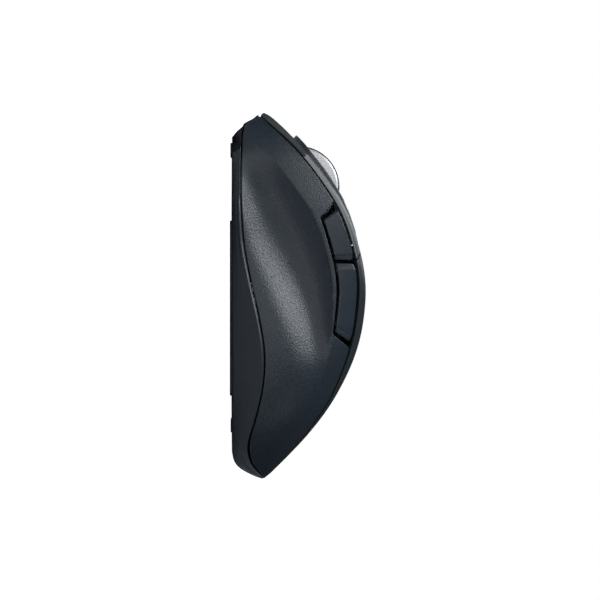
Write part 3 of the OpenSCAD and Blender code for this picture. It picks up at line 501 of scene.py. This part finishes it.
# Painted highlight: the wheel's chamfer is the hub's silver metal made near white, for the light it catches
CHAMFER_HIGHLIGHT = finish("wheel_chamfer_painted_highlight", (0.94, 0.94, 0.94), (0.97, 0.97, 0.97), 0.5,
                 [("noise", 9000, 0.0003, 0.1)], metallic=1.0, blotch=300, spread=0.01)
RUBBER = finish("tread_rubber", (0.010, 0.010, 0.011), (0.020, 0.020, 0.022), 0.8,
                [("noise", 3800, 0.04, 0.6)], blotch=900, specular=0.25)
BOARD = finish("solder_mask", (0.006, 0.060, 0.024), (0.012, 0.095, 0.040), 0.35,
               [("cells", 420, 0.03, 0.4)], blotch=260, coat=0.3)
CHIP = finish("black_epoxy", (0.006, 0.006, 0.007), (0.012, 0.012, 0.013), 0.6,
              [("noise", 5000, 0.02, 0.5)], blotch=900)
ENCODER = finish("green_moulding", (0.03, 0.16, 0.08), (0.05, 0.22, 0.11), 0.45,
                 [("noise", 3000, 0.02, 0.4)], blotch=500)
STEEL = finish("nickel_plate", (0.52, 0.52, 0.50), (0.66, 0.66, 0.64), 0.26,
               [("noise", 2400, 0.01, 0.3)], metallic=1.0, blotch=600)
CELL = finish("cell_sleeve", (0.015, 0.045, 0.19), (0.02, 0.06, 0.24), 0.3,
              [("noise", 900, 0.02, 0.3)], blotch=90, coat=0.4)
FOOT = finish("glide_film", (0.055, 0.055, 0.058), (0.085, 0.085, 0.09), 0.33,
              [("noise", 1800, 0.02, 0.4)], blotch=400)
KNOB = finish("orange_knob", (0.50, 0.075, 0.015), (0.60, 0.10, 0.02), 0.4,
              [("noise", 3000, 0.02, 0.4)], blotch=500)
LENS = finish("clear_lens", (0.80, 0.84, 0.88), (0.90, 0.93, 0.96), 0.12,
              [("noise", 700, 0.01, 0.2)], blotch=200)
LENS.node_tree.nodes["Principled BSDF"].inputs["Transmission Weight"].default_value = 0.85
LIGHT = finish("status_lens", (0.04, 0.20, 0.62), (0.08, 0.32, 0.80), 0.25,
               [("noise", 1500, 0.01, 0.3)], blotch=600)


# ---- covers ----
def ledge(distance, width):
    """Depth of the hollow above a rolled edge: it deepens over the width of the edge, then runs out."""
    depth = 0.3 * width
    rise = np.clip(distance / np.maximum(width, 1e-6), 0, 1)
    return depth * rise * (1 - smooth((distance - width) / 5.0))


def side_grip(side):
    """A side grip, from just above the base's ledge up to the seam, cut back around the thumb buttons."""
    rows = between(57.8, -58.7, 116.5, 190)
    if side < 0:
        corners = [between(30.6, 24.5, 6.1, 26, 0.3, 0.3), between(-12.1, -17.2, 5.1, 24, 0.3, 0.3)]
        rows = np.unique(np.concatenate([rows] + corners))[::-1]
    length = grip_length(side, rows)
    head = straight(NOTCH, rows) if side < 0 else np.ones_like(rows)
    if side < 0:
        head = np.convolve(np.pad(head, 4, mode="edge"), np.ones(9) / 9, mode="valid")
    foot = value(GROOVE, rows) / length
    head = head - (SEAM + GRIP_RELIEF) / length
    reach = (head - foot) * length
    v = foot[:, None] + stations(reach, 64, 0.5, 0.5) / length[:, None]
    grid = grip(side, rows[:, None], v)
    undercut = GRIP_UNDERCUT * smooth((rows - 26) / 4) / length  # only where the main button travels far
    rise = smooth((v - foot[:, None]) / (head - foot)[:, None])
    under = grip(side, rows[:, None], v - undercut[:, None] * rise)
    name = "left_grip" if side < 0 else "right_grip"
    piece = wall(name + "_skin", grid, "housing", "grip_plastic", GRIP, radius=0.25, up=-side, under=under)
    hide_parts(name)


def flange(y):
    """Width of the rolled edge along the top covers' side seam. It starts beside the wheel, narrows at the
    palm cover and runs out behind."""
    start, palm, end = smooth((46.0 - y) / 0.9), smooth((11.5 - y) / 2), smooth((-14 - y) / 14)
    return 1.3 * start * (1 - 0.35 * palm) * (1 - end)


def main_button(side, body):
    """A main button, from the front lip to the palm cover and from its grip to the wheel's bezel."""
    nose = BEZEL_NOSE + SEAM - (BEZEL_NOSE - BEZEL_TAPER) * (1 - np.sin(np.linspace(0, pi / 2, 22)))
    q = between(0.0, 1.0, 45.0, 120)
    q = np.unique(np.concatenate([q, (LIP_FRONT - nose) / (LIP_FRONT - 16), np.linspace(0.26, 0.30, 12)]))
    share = between(0.0, 1.0, 18.0, 60, 2.2, 0.5)
    qq, cc = np.meshgrid(q, share, indexing="ij")

    def across(y, c):
        outside = curve(UPPER[side], y)[..., 1] - COVER_INSET
        inside = bezel_width(y) + SEAM
        return side * (outside + (inside - outside) * c)

    edge = palm_edge(across(np.full_like(cc, 14.0), cc)) + SEAM
    y = LIP_FRONT + (edge - LIP_FRONT) * qq
    grid = top(across(y, cc), y)
    low_y, low_c = y - BUTTON_TUCK * (1 - qq) ** 4, cc + 0.06 * (1 - cc) ** 4
    under = top(across(low_y, low_c), low_y)
    lip = (qq == 0) * np.maximum(0, 1 - (grid[..., 0] / 17) ** 2)
    under = under + lip[..., None] * np.array(BUTTON_LIP)
    near = rim_distance(grid, grid[:, 0])
    drop = ledge(near, flange(y))
    name = "left_button" if side < 0 else "right_button"
    piece = wall(name + "_skin", grid, body, "shell_plastic", SHELL, thickness=1.0, radius=0.22, drop=drop,
                 up=-side, under=under)
    # The front of each main button is repainted darker and weakly reflecting: painted shade
    shaded_faces = int(np.searchsorted(q, SHADED_SHARE)) * (len(share) - 1)
    repaint(piece, FRONT_SHADE, lambda number, _: number < shaded_faces)
    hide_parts(name)


def palm_cover():
    """The rear top cover, between both grips."""
    share = between(0.0, 1.0, 45.0, 100, 1.6, 1.6)
    q = between(0.0, 1.0, 74.0, 130)
    qq, cc = np.meshgrid(q, share, indexing="ij")
    left, right = curve(UPPER[-1], 13.0)[1], curve(UPPER[1], 13.0)[1]
    start = palm_edge(-left + (left + right) * cc) - SEAM
    y = start + (LIP_REAR - start) * qq
    inset = COVER_INSET - 0.13 * smooth((-14 - y) / 10)
    low, high = -curve(UPPER[-1], y)[..., 1] + inset, curve(UPPER[1], y)[..., 1] - inset
    grid = top(low + (high - low) * cc, y)
    near = np.minimum(rim_distance(grid, grid[:, 0]), rim_distance(grid, grid[:, -1]))
    drop = ledge(near, flange(y))
    piece = wall("palm_cover_skin", grid, "housing", "shell_plastic", SHELL, radius=0.22, drop=drop)
    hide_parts("palm_cover")


def wheel_bezel():
    """The ridge between the main buttons, with its openings for the wheel, the mode button and the light."""
    nose = BEZEL_NOSE - (BEZEL_NOSE - BEZEL_TAPER) * (1 - np.sin(np.linspace(0.02, pi / 2, 40)))
    rows = np.concatenate([nose[::-1], between(BEZEL_TAPER, BEZEL_TAIL + SEAM, 26.7, 50)[1:]])
    share = between(-1.0, 1.0, 15.0, 30, 0.7, 0.7)
    y, c = np.meshgrid(rows, share, indexing="ij")
    x = bezel_width(y) * c
    grid = np.stack([x, y, bezel_z(x, y)], axis=-1)
    piece = wall("wheel_bezel_skin", grid, "housing", "shell_plastic", SHELL, thickness=3.6, radius=0.25)
    slot_half = WHEEL_W / 2 + WHEEL_GAP
    ring = circle(WHEEL_Y, WHEEL_Z, WHEEL_R + WHEEL_GAP, 128)
    cut(piece, [prism(ring, -slot_half, slot_half, "x"),
                prism(rounded(0, MODE_Y, 8.0, 9.0, 2.2), 30, 50),
                prism(circle(0, LIGHT_Y, 0.9), 30, 50)])
    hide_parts("wheel_bezel")


# ---- base ----
def spline(points, count):
    """Smooth line held to its end points and pulled to the others (a quadratic B-spline)."""
    p = [np.asarray(q, float) for q in points]
    out = []
    for i in range(len(p) - 2):
        a = p[0] if i == 0 else (p[i] + p[i + 1]) / 2
        c = p[-1] if i == len(p) - 3 else (p[i + 1] + p[i + 2]) / 2
        for t in np.linspace(0, 1, count, endpoint=i == len(p) - 3):
            out.append(a * (1 - t) ** 2 + 2 * p[i + 1] * t * (1 - t) + c * t**2)
    return out


def ending(y):
    """1 at the front lip and -1 at the rear one, 0 in between."""
    return np.sign(y) * smooth((abs(y) - 50) / 8.5)


def base_half(side, y, t):
    """The base's outline at y, from its top edge down and in to the floor, sunk by t."""
    lo = curve(LOWER[side], y)
    u, xr, zr = value(BELLY, y), lo[1] + value(LEDGE, y), lo[2] - SEAM + 0.05
    tuck = t * 0.3 * smooth((y - 52) / 5)
    lean, h, e = value(LEAN, y), max(0.2, zr - u), abs(ending(y))
    tx, tz = t * (1 - 0.4 * e), t * (1 - e)
    bevel = 0.25 + 0.75 * smooth((32.2 - y) / 0.9) * smooth((y + 32) / 12)
    lip = min(0.75, 0.2 * h) * bevel
    # From the top edge over its bevel, down the side to the floor and in towards the middle
    points = [(xr - 1.2 * lip - tx, zr - tuck), (xr - lip - tx, zr - tuck), (xr - tx, zr - 0.8 * lip),
              (xr - 0.1 - tx, zr - 1.3 * lip), (xr - 0.3 - 0.25 * lean - tx, zr - 0.35 * h),
              (xr - 0.6 * lean - tx, u + 0.5 * h + 0.2 * tz), (xr - lean - 0.1 - tx, u + 0.2 * h + 0.55 * tz),
              (xr - lean - 0.5 - tx, u + tz), (xr - lean - 2.4 - tx, u + tz), (0.5 * xr - 0.4 * tx, u + tz)]
    return spline(points, 5)


def base_row(y, t):
    """One ring of the base at y, sunk by t: down the left side and up the right."""
    left, right = base_half(-1, y, t), base_half(1, y, t)
    ring = [(-p[0], p[1]) for p in left] + [(0.0, left[-1][1])] + [tuple(p) for p in right[::-1]]
    x, z = np.array(ring).T
    e = ending(y)
    front = CHIN_BOW * smooth((y - CHIN_START) / CHIN_RUN) * (1 - np.minimum(1, abs(x) / FRONT_HALF) ** 2)
    shift = front if y > 0 else bow(x, y)
    return np.stack([x, y + shift - t * e, z], axis=-1)


def base_shell():
    """The lower casing, with openings for the battery door, the sensor, the switch and the screws."""
    rows = np.concatenate([between(LIP_FRONT, 50, 8.2, 40, 0.2, 0.2), np.linspace(49.8, -49.8, 130),
                           between(-50, LIP_REAR, 9.2, 40, 0.2, 0.2)])
    outer = np.array([base_row(y, 0.0) for y in rows])
    inner = np.array([base_row(y, BASE_WALL) for y in rows])
    piece = make("base_skin", *solid(outer, inner), "housing", "base_plastic", BASE)
    front, behind = 6.3, 1.4  # the door opening's front end, and how far it reaches behind the hinge
    middle = (DOOR_HINGE_Y - behind + front) / 2
    length = front - DOOR_HINGE_Y + behind
    door = rounded(DOOR_X, middle, 2 * DOOR_HALF + 0.6, length, 0.6)
    sensor, switch = rounded(0, 17, 10.4, 8.4, 1.0), rounded(-22, 0, 4.4, 8.4, 1.0)
    holes = [door, sensor, switch] + [circle(x, y, 2.4) for x, y in SCREWS]
    cut(piece, [prism(hole, *BELLY_CUT) for hole in holes])
    # The base's front corner gets the near-black finish: painted shade where the casing turns away from the
    # light
    repaint(piece, CHIN_SHADE, lambda _, place: place.y > CHIN_Y + CHIN_SLANT * (place.z - 0.9))
    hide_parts("base_shell")


# ---- thumb buttons ----
PRESS = np.array([cos(PRESS_ANGLE), 0, -sin(PRESS_ANGLE)])


def side_point(ends, q, c):
    """Point of a thumb button at length share q and height share c. ends holds the y of its front and rear
    ends at the lower edge, then at the upper edge."""
    corner = rounding(np.minimum(c, 1 - c) * THUMB_HEIGHT, 0.6)
    front = ends[0] + (ends[2] - ends[0]) * c - corner
    rear = ends[1] + (ends[3] - ends[1]) * c + corner
    y = front + (rear - front) * q
    at = np.clip(y, -12, 24.4)  # the stretch where the notch follows the buttons
    low = straight(NOTCH, at) + BUTTON_GAP / grip_length(-1, at)
    high = 1 - BUTTON_HEAD / grip_length(-1, y)
    return grip(-1, y, low + (high - low) * c)


def thumb_button(name, ends, profile, body, length):
    """A thumb button. profile is its bevel along its length: (share, drop)."""
    q = between(0.0, 1.0, length, 70)
    c = between(0.0, 1.0, THUMB_HEIGHT, 26)
    qq, cc = np.meshgrid(q, c, indexing="ij")
    shares, drops = np.array(profile).T
    relief = np.interp(qq, shares, drops)
    stand, tilt = 0.5, 0.9  # how far it stands out of the grip, and how much more so at its upper edge
    grid = side_point(ends, qq, cc) - (stand + tilt * (cc - 0.5) - relief)[..., None] * PRESS
    piece = wall(name + "_skin", grid, body, "button_plastic", BUTTON, thickness=1.9, radius=0.35)
    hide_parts(name)


# ---- pads, wheel and small pieces ----
def pad(name, outline, surface, depth, radius, body, slot, material, reach, sign=1):
    """A cap with a rounded edge. outline(inset) gives its points and surface(x, y) its height. It closes at
    the inset reach, and sign -1 faces it down."""
    turn = np.linspace(0, pi / 2, 6)
    insets = list(radius * (1 - np.cos(turn))) + list(np.linspace(radius, reach, 7)[1:])
    drops = list(radius * (1 - np.sin(turn))) + [0.0] * 6
    rings = []
    for inset, drop in [(0.0, depth)] + list(zip(insets, drops)):
        x, y = np.array(outline(inset)).T
        rings.append(np.stack([x, y, surface(x, y) - sign * drop], axis=-1))
    count = len(rings[0])
    faces = grid_faces(len(rings), count, close_cols=True)
    faces.append(list(range(count))[::-1])
    faces.append([(len(rings) - 1) * count + i for i in range(count)])
    return make(name, np.concatenate(rings), faces, body, slot, material, sharp=50)


def plate(name, cx, cy, width, height, corner, z, depth, radius, body, slot, material, sign=-1):
    """A flat pad with round corners."""
    return pad(name, lambda i: rounded(cx, cy, width - 2 * i, height - 2 * i, max(corner - i, 0.05)),
               lambda x, y: np.full_like(x, z), depth, radius, body, slot, material,
               0.47 * min(width, height), sign)


def wheel():
    """Silver hub with its axle, and the rubber tread in its seat."""
    # Half width, radii of the flat face, the rim and the tread's seat, and half width of the seat
    side, face, rim, seat, half = WHEEL_W / 2, 12.5, WHEEL_R - 0.42, 11.6, 2.3
    outside = [(seat, half), (rim - 0.1, half), (rim, half + 0.1), (rim, side - 0.85),
               (rim - 0.05, side - 0.78), (face + 0.05, side - 0.03), (face - 0.03, side), (7.8, side),
               (7.6, side - 0.1), (7.2, side - 0.5), (3.8, side - 0.5), (3.4, side - 0.2), (3.2, side),
               (1.6, side)]
    profile = ([(1.4, -8.4), (1.6, -8.2)] + [(r, -t) for r, t in outside[::-1]] + outside
               + [(1.6, 9.0), (1.4, 9.2)])
    hub = lathe("wheel_hub_turned", profile, (0, WHEEL_Y, WHEEL_Z), "x", "wheel", "silver", SILVER, 192)

    # The hub's chamfered rim gets the near-white metal: a painted highlight
    def lit_chamfer(_, place):
        out = np.hypot(place.y - WHEEL_Y, place.z - WHEEL_Z)
        return face - 0.05 < out < rim and abs(place.x) > half + 0.2

    repaint(hub, CHAMFER_HIGHLIGHT, lit_chamfer)
    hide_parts("wheel_hub")
    ribs, steps, depth = 56, 8, 0.28
    a = np.linspace(0, 2 * pi, ribs * steps, endpoint=False)
    notch = smooth(2.2 - 5.0 * abs(((a * ribs / (2 * pi)) % 1.0) - 0.5))
    across = np.array([-2.25, -2.25, -2.1, -1.85, -1.6, -0.6, 0, 0.6, 1.6, 1.85, 2.1, 2.25, 2.25])
    radius = np.array([seat + 0.05, WHEEL_R - 0.18, WHEEL_R, WHEEL_R] + [WHEEL_R] * 5
                      + [WHEEL_R, WHEEL_R, WHEEL_R - 0.18, seat + 0.05])
    grooved = (abs(across) < 1.7) * 1.0
    r = radius[:, None] - depth * grooved[:, None] * notch
    t = np.broadcast_to(across[:, None], r.shape)
    points = np.stack([t, WHEEL_Y + r * np.cos(a), WHEEL_Z + r * np.sin(a)], axis=-1).reshape(-1, 3)
    faces = grid_faces(len(across), len(a), close_rows=True, close_cols=True)
    tread = make("wheel_tread_ribbed", points, faces, "wheel", "tread_rubber", RUBBER, sharp=50)
    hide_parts("wheel_tread")


def mode_button():
    """A low bar behind the wheel, curved with the bezel and slightly dished."""
    width, length, corner = 7.2, 8.2, 1.9
    rise, hollow = 0.12, 0.18  # how far it stands above the bezel, and the depth of its dish

    def outline(inset):
        return rounded(0, MODE_Y, width - 2 * inset, length - 2 * inset, max(corner - inset, 0.05))

    def surface(x, y):
        dish = hollow * np.maximum(0, 1 - ((y - MODE_Y) / 3.4) ** 2) * np.maximum(0, 1 - (x / 3.2) ** 2)
        return bezel_z(x, y) + rise - dish

    cap = pad("mode_button_cap", outline, surface, 3.6, 0.35, "mode", "button_plastic", BUTTON, 3.3)
    lathe("mode_button_stem", [(1.0, 34.7), (1.2, 34.9), (1.2, 36.6), (1.0, 36.8)], (0, 22.4, 0), "z", "mode",
          "button_plastic", BUTTON, 48)
    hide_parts("mode_button")


def feet():
    """Low-friction pads: two at the front, two long ones at the sides and one at the rear."""
    for side, word in ((-1, "left"), (1, "right")):
        front = plate(f"front_foot_{word}", side * 15, 47, 14, 4.6, 2.2, 0, FOOT_HEIGHT, PAD_EDGE, "housing",
                      "foot_slick", FOOT)
        skate = plate(f"side_skate_{word}", side * 29.2, -4, 3.6, 56, 1.7, 0, FOOT_HEIGHT, PAD_EDGE,
                      "housing", "foot_slick", FOOT)
        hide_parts("front_feet")
        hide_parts("side_skates")
    rear = plate("rear_foot_pad", -10, -42, 16, 4.6, 2.2, 0, FOOT_HEIGHT, PAD_EDGE, "housing", "foot_slick",
                 FOOT)
    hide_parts("rear_foot")


def battery_door():
    """The door's panel, its finger ribs, its hinge barrel and pin."""
    front, z, half = 6.0, 1.35, DOOR_HALF
    panel = plate("battery_door_panel", DOOR_X, (front + DOOR_HINGE_Y) / 2, 2 * half, front - DOOR_HINGE_Y,
                  0.5, FOOT_HEIGHT, 1.5, 0.2, "battery_door", "base_plastic", BASE)
    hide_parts("battery_door")
    for i in range(4):
        plate(f"battery_door_rib_{i}", DOOR_X, -1.6 + 1.6 * i, 8.0, 0.8, 0.38, FOOT_HEIGHT - 0.25, 0.4, 0.15,
              "battery_door", "base_plastic", BASE)
    lathe("battery_door_barrel", [(0.6, -half), (0.75, 0.15 - half), (0.75, half - 0.15), (0.6, half)],
          (DOOR_X, DOOR_HINGE_Y, z), "x", "battery_door", "base_plastic", BASE, 48)
    end = half + 1.2
    lathe("battery_door_pin", [(0.35, -end), (0.5, 0.15 - end), (0.5, end - 0.15), (0.35, end)],
          (DOOR_X, DOOR_HINGE_Y, z), "x", "battery_door", "base_plastic", BASE, 48)


def screws():
    """Cross-head case screws with a cut thread."""
    turns, start, reach = 14, 3.1, 10.2
    root, crest, half_pitch = 0.66, 0.86, 0.36
    thread = []
    for i in range(turns):
        low = start + reach * i / turns
        thread += [(root, low), (crest, low + half_pitch)]
    for number, (x, y) in enumerate(SCREWS):
        profile = [(2.05, 1.6), (2.2, 1.75), (2.2, 2.7), (1.8, start), (0.88, start)] + thread + [(0.3, 14.0)]
        screw = lathe(f"case_screw_{number}", profile, (x, y, 0), "z", "housing", "screw_steel", STEEL, 48)
        cross = rounded(x, y, 2.4, 0.5, 0.1, 2), rounded(x, y, 0.5, 2.4, 0.1, 2)
        cut(screw, [prism(arm, 1.0, 2.3) for arm in cross])
        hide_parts("case_screws")


def power_slider():
    """The power switch's knob, with its grip ridges and its stem."""
    cx, cy = -22.0, -1.6
    cap = plate("power_slider_cap", cx, cy, 3.2, 4.0, 0.5, 1.0, 2.0, 0.2, "power_knob", "knob_orange", KNOB)
    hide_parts("power_knob")
    for i in range(3):
        plate(f"power_slider_ridge_{i}", cx, cy - 1.1 + 1.1 * i, 2.4, 0.5, 0.2, 0.85, 0.3, 0.1, "power_knob",
              "knob_orange", KNOB)
    plate("power_slider_stem", cx, cy, 1.2, 1.2, 0.15, 2.9, 1.1, 0.1, "power_knob", "knob_orange", KNOB)


# ---- inside and underside ----
def dress(nodes, material):
    """Gives CAD nodes their finish."""
    for name in nodes:
        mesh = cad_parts[name].data
        mesh.materials.clear()
        mesh.materials.append(material)


# ---- build ----
side_grip(-1)
side_grip(1)
main_button(-1, "left_click")
main_button(1, "right_click")
palm_cover()
wheel_bezel()
base_shell()
thumb_button("forward_button", (24.3, 11.3, 27.6, 11.3),
             [(0, 0.35), (0.05, 0), (0.86, 0), (0.9, 0.08), (1, 0.9)], "forward", 14)
thumb_button("back_button", (10.5, -11.6, 10.5, -15.0),
             [(0, 0.9), (0.07, 0.08), (0.09, 0), (0.9, 0), (0.93, 0.08), (1, 0.9)], "back", 24)

wheel()
mode_button()
feet()
battery_door()
screws()
power_slider()
dress(["status_light"], LIGHT)
dress(["battery_contact", "power_switch", "carrier_spring", "battery_spring"], STEEL)
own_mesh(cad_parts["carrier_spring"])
dress(["main_board", "side_board"], BOARD)
dress(["sensor_chip", "left_switch", "right_switch", "wheel_switch", "mode_switch", "forward_switch",
       "back_switch"], CHIP)
dress(["top_frame", "side_button_bracket", "wheel_carrier", "carrier_bracket", "mode_post", "battery_tray",
       "receiver"], INNER)
dress(["wheel_encoder"], ENCODER)
dress(["battery_cell"], CELL)
dress(["sensor_lens"], LENS)


# ---- room, light and camera ----
LIGHT_AIM = (0, 0, 0.02)


def link(tree, source, target):
    tree.links.new(source, target)


def room():
    """A pale floor and a white background as the picture shows them, and the plainer floor and soft sky that
    light the mouse."""
    size = 3.0
    mesh = bpy.data.meshes.new("floor")
    corners = [(-size, -size, 0), (size, -size, 0), (size, size, 0), (-size, size, 0)]
    mesh.from_pydata(corners, [], [(0, 1, 2, 3)])
    floor = bpy.data.objects.new("floor", mesh)
    bpy.context.scene.collection.objects.link(floor)
    m = bpy.data.materials.new("pale_floor")
    m.use_nodes = True
    tree = m.node_tree
    tree.nodes.remove(tree.nodes["Principled BSDF"])
    pale, glow = tree.nodes.new("ShaderNodeBsdfDiffuse"), tree.nodes.new("ShaderNodeEmission")
    plain, both = tree.nodes.new("ShaderNodeBsdfDiffuse"), tree.nodes.new("ShaderNodeAddShader")
    pale.inputs["Color"].default_value = (0.5, 0.5, 0.5, 1)
    glow.inputs["Color"].default_value = (1, 1, 1, 1)
    glow.inputs["Strength"].default_value = 1.0
    plain.inputs["Color"].default_value = (0.55, 0.56, 0.60, 1)
    link(tree, pale.outputs["BSDF"], both.inputs[0])
    link(tree, glow.outputs["Emission"], both.inputs[1])
    seen(tree, plain.outputs["BSDF"], both.outputs["Shader"], tree.nodes["Material Output"])
    mesh.materials.append(m)

    world = bpy.data.worlds.new("studio")
    world.use_nodes = True
    tree = world.node_tree
    ambient, backdrop = tree.nodes["Background"], tree.nodes.new("ShaderNodeBackground")
    backdrop.inputs["Color"].default_value = (1, 1, 1, 1)
    ambient.inputs["Color"].default_value = (0.66, 0.84, 1.0, 1)
    toward, span = tree.nodes.new("ShaderNodeVectorMath"), tree.nodes.new("ShaderNodeMapRange")
    toward.operation = "DOT_PRODUCT"
    toward.inputs[1].default_value = (-0.35, 0, 0.94)
    span.inputs["To Min"].default_value, span.inputs["To Max"].default_value = 0.04, 0.30
    link(tree, tree.nodes.new("ShaderNodeTexCoord").outputs["Generated"], toward.inputs[0])
    link(tree, toward.outputs["Value"], span.inputs["Value"])
    link(tree, span.outputs["Result"], ambient.inputs["Strength"])
    seen(tree, ambient.outputs["Background"], backdrop.outputs["Background"], tree.nodes["World Output"])
    bpy.context.scene.world = world


def seen(tree, lighting, picture, output):
    """One shader lights the mouse, the other is what the picture shows of the room."""
    mix = tree.nodes.new("ShaderNodeMixShader")
    link(tree, tree.nodes.new("ShaderNodeLightPath").outputs["Is Camera Ray"], mix.inputs["Fac"])
    link(tree, lighting, mix.inputs[1])
    link(tree, picture, mix.inputs[2])
    link(tree, mix.outputs["Shader"], output.inputs["Surface"])


def softbox(name, place, size, power):
    """A rectangular light turned towards the mouse."""
    data = bpy.data.lights.new(name, "AREA")
    data.shape = "RECTANGLE"
    data.size, data.size_y = size
    data.energy = power
    data.color = (0.93, 0.97, 1.0)
    light = bpy.data.objects.new(name, data)
    light.location = place
    light.rotation_euler = (Vector(LIGHT_AIM) - Vector(place)).to_track_quat("-Z", "Y").to_euler()
    bpy.context.scene.collection.objects.link(light)


def camera():
    """Level with the mouse on its left side, rolled so that the front lip points up in the frame."""
    lens, sensor, across = 200.0, 36.0, 0.1972  # across is the width of the view at the mouse
    aim = Vector((0.0, -0.0014, 0.02245))
    data = bpy.data.cameras.new("camera")
    data.lens, data.sensor_width = lens, sensor
    data.clip_start, data.clip_end = 0.01, 20
    cam = bpy.data.objects.new("camera", data)
    right, up, back = Vector((0, 0, 1)), Vector((0, 1, 0)), Vector((-1, 0, 0))
    turn = Matrix((right, up, back)).transposed().to_4x4()
    cam.matrix_world = Matrix.Translation(aim + back * across * lens / sensor) @ turn
    bpy.context.scene.collection.objects.link(cam)
    bpy.context.scene.camera = cam


room()
softbox("key", (-0.08, 0.28, 0.51), (0.30, 0.22), 2.7)
softbox("left", (-0.80, 0.25, 0.45), (0.4, 0.4), 1.0)
softbox("low", (-0.80, 0, 0.05), (0.8, 0.10), 1.1)
softbox("rear", (-0.40, -0.55, 0.45), (0.3, 0.3), 0.3)
softbox("front_left", (-0.55, 0.60, 0.45), (0.3, 0.3), 0.3)
softbox("behind", (0.78, 0.30, 0.36), (0.5, 0.4), 0.65)
camera()
bpy.context.scene.view_settings.view_transform = "Standard"
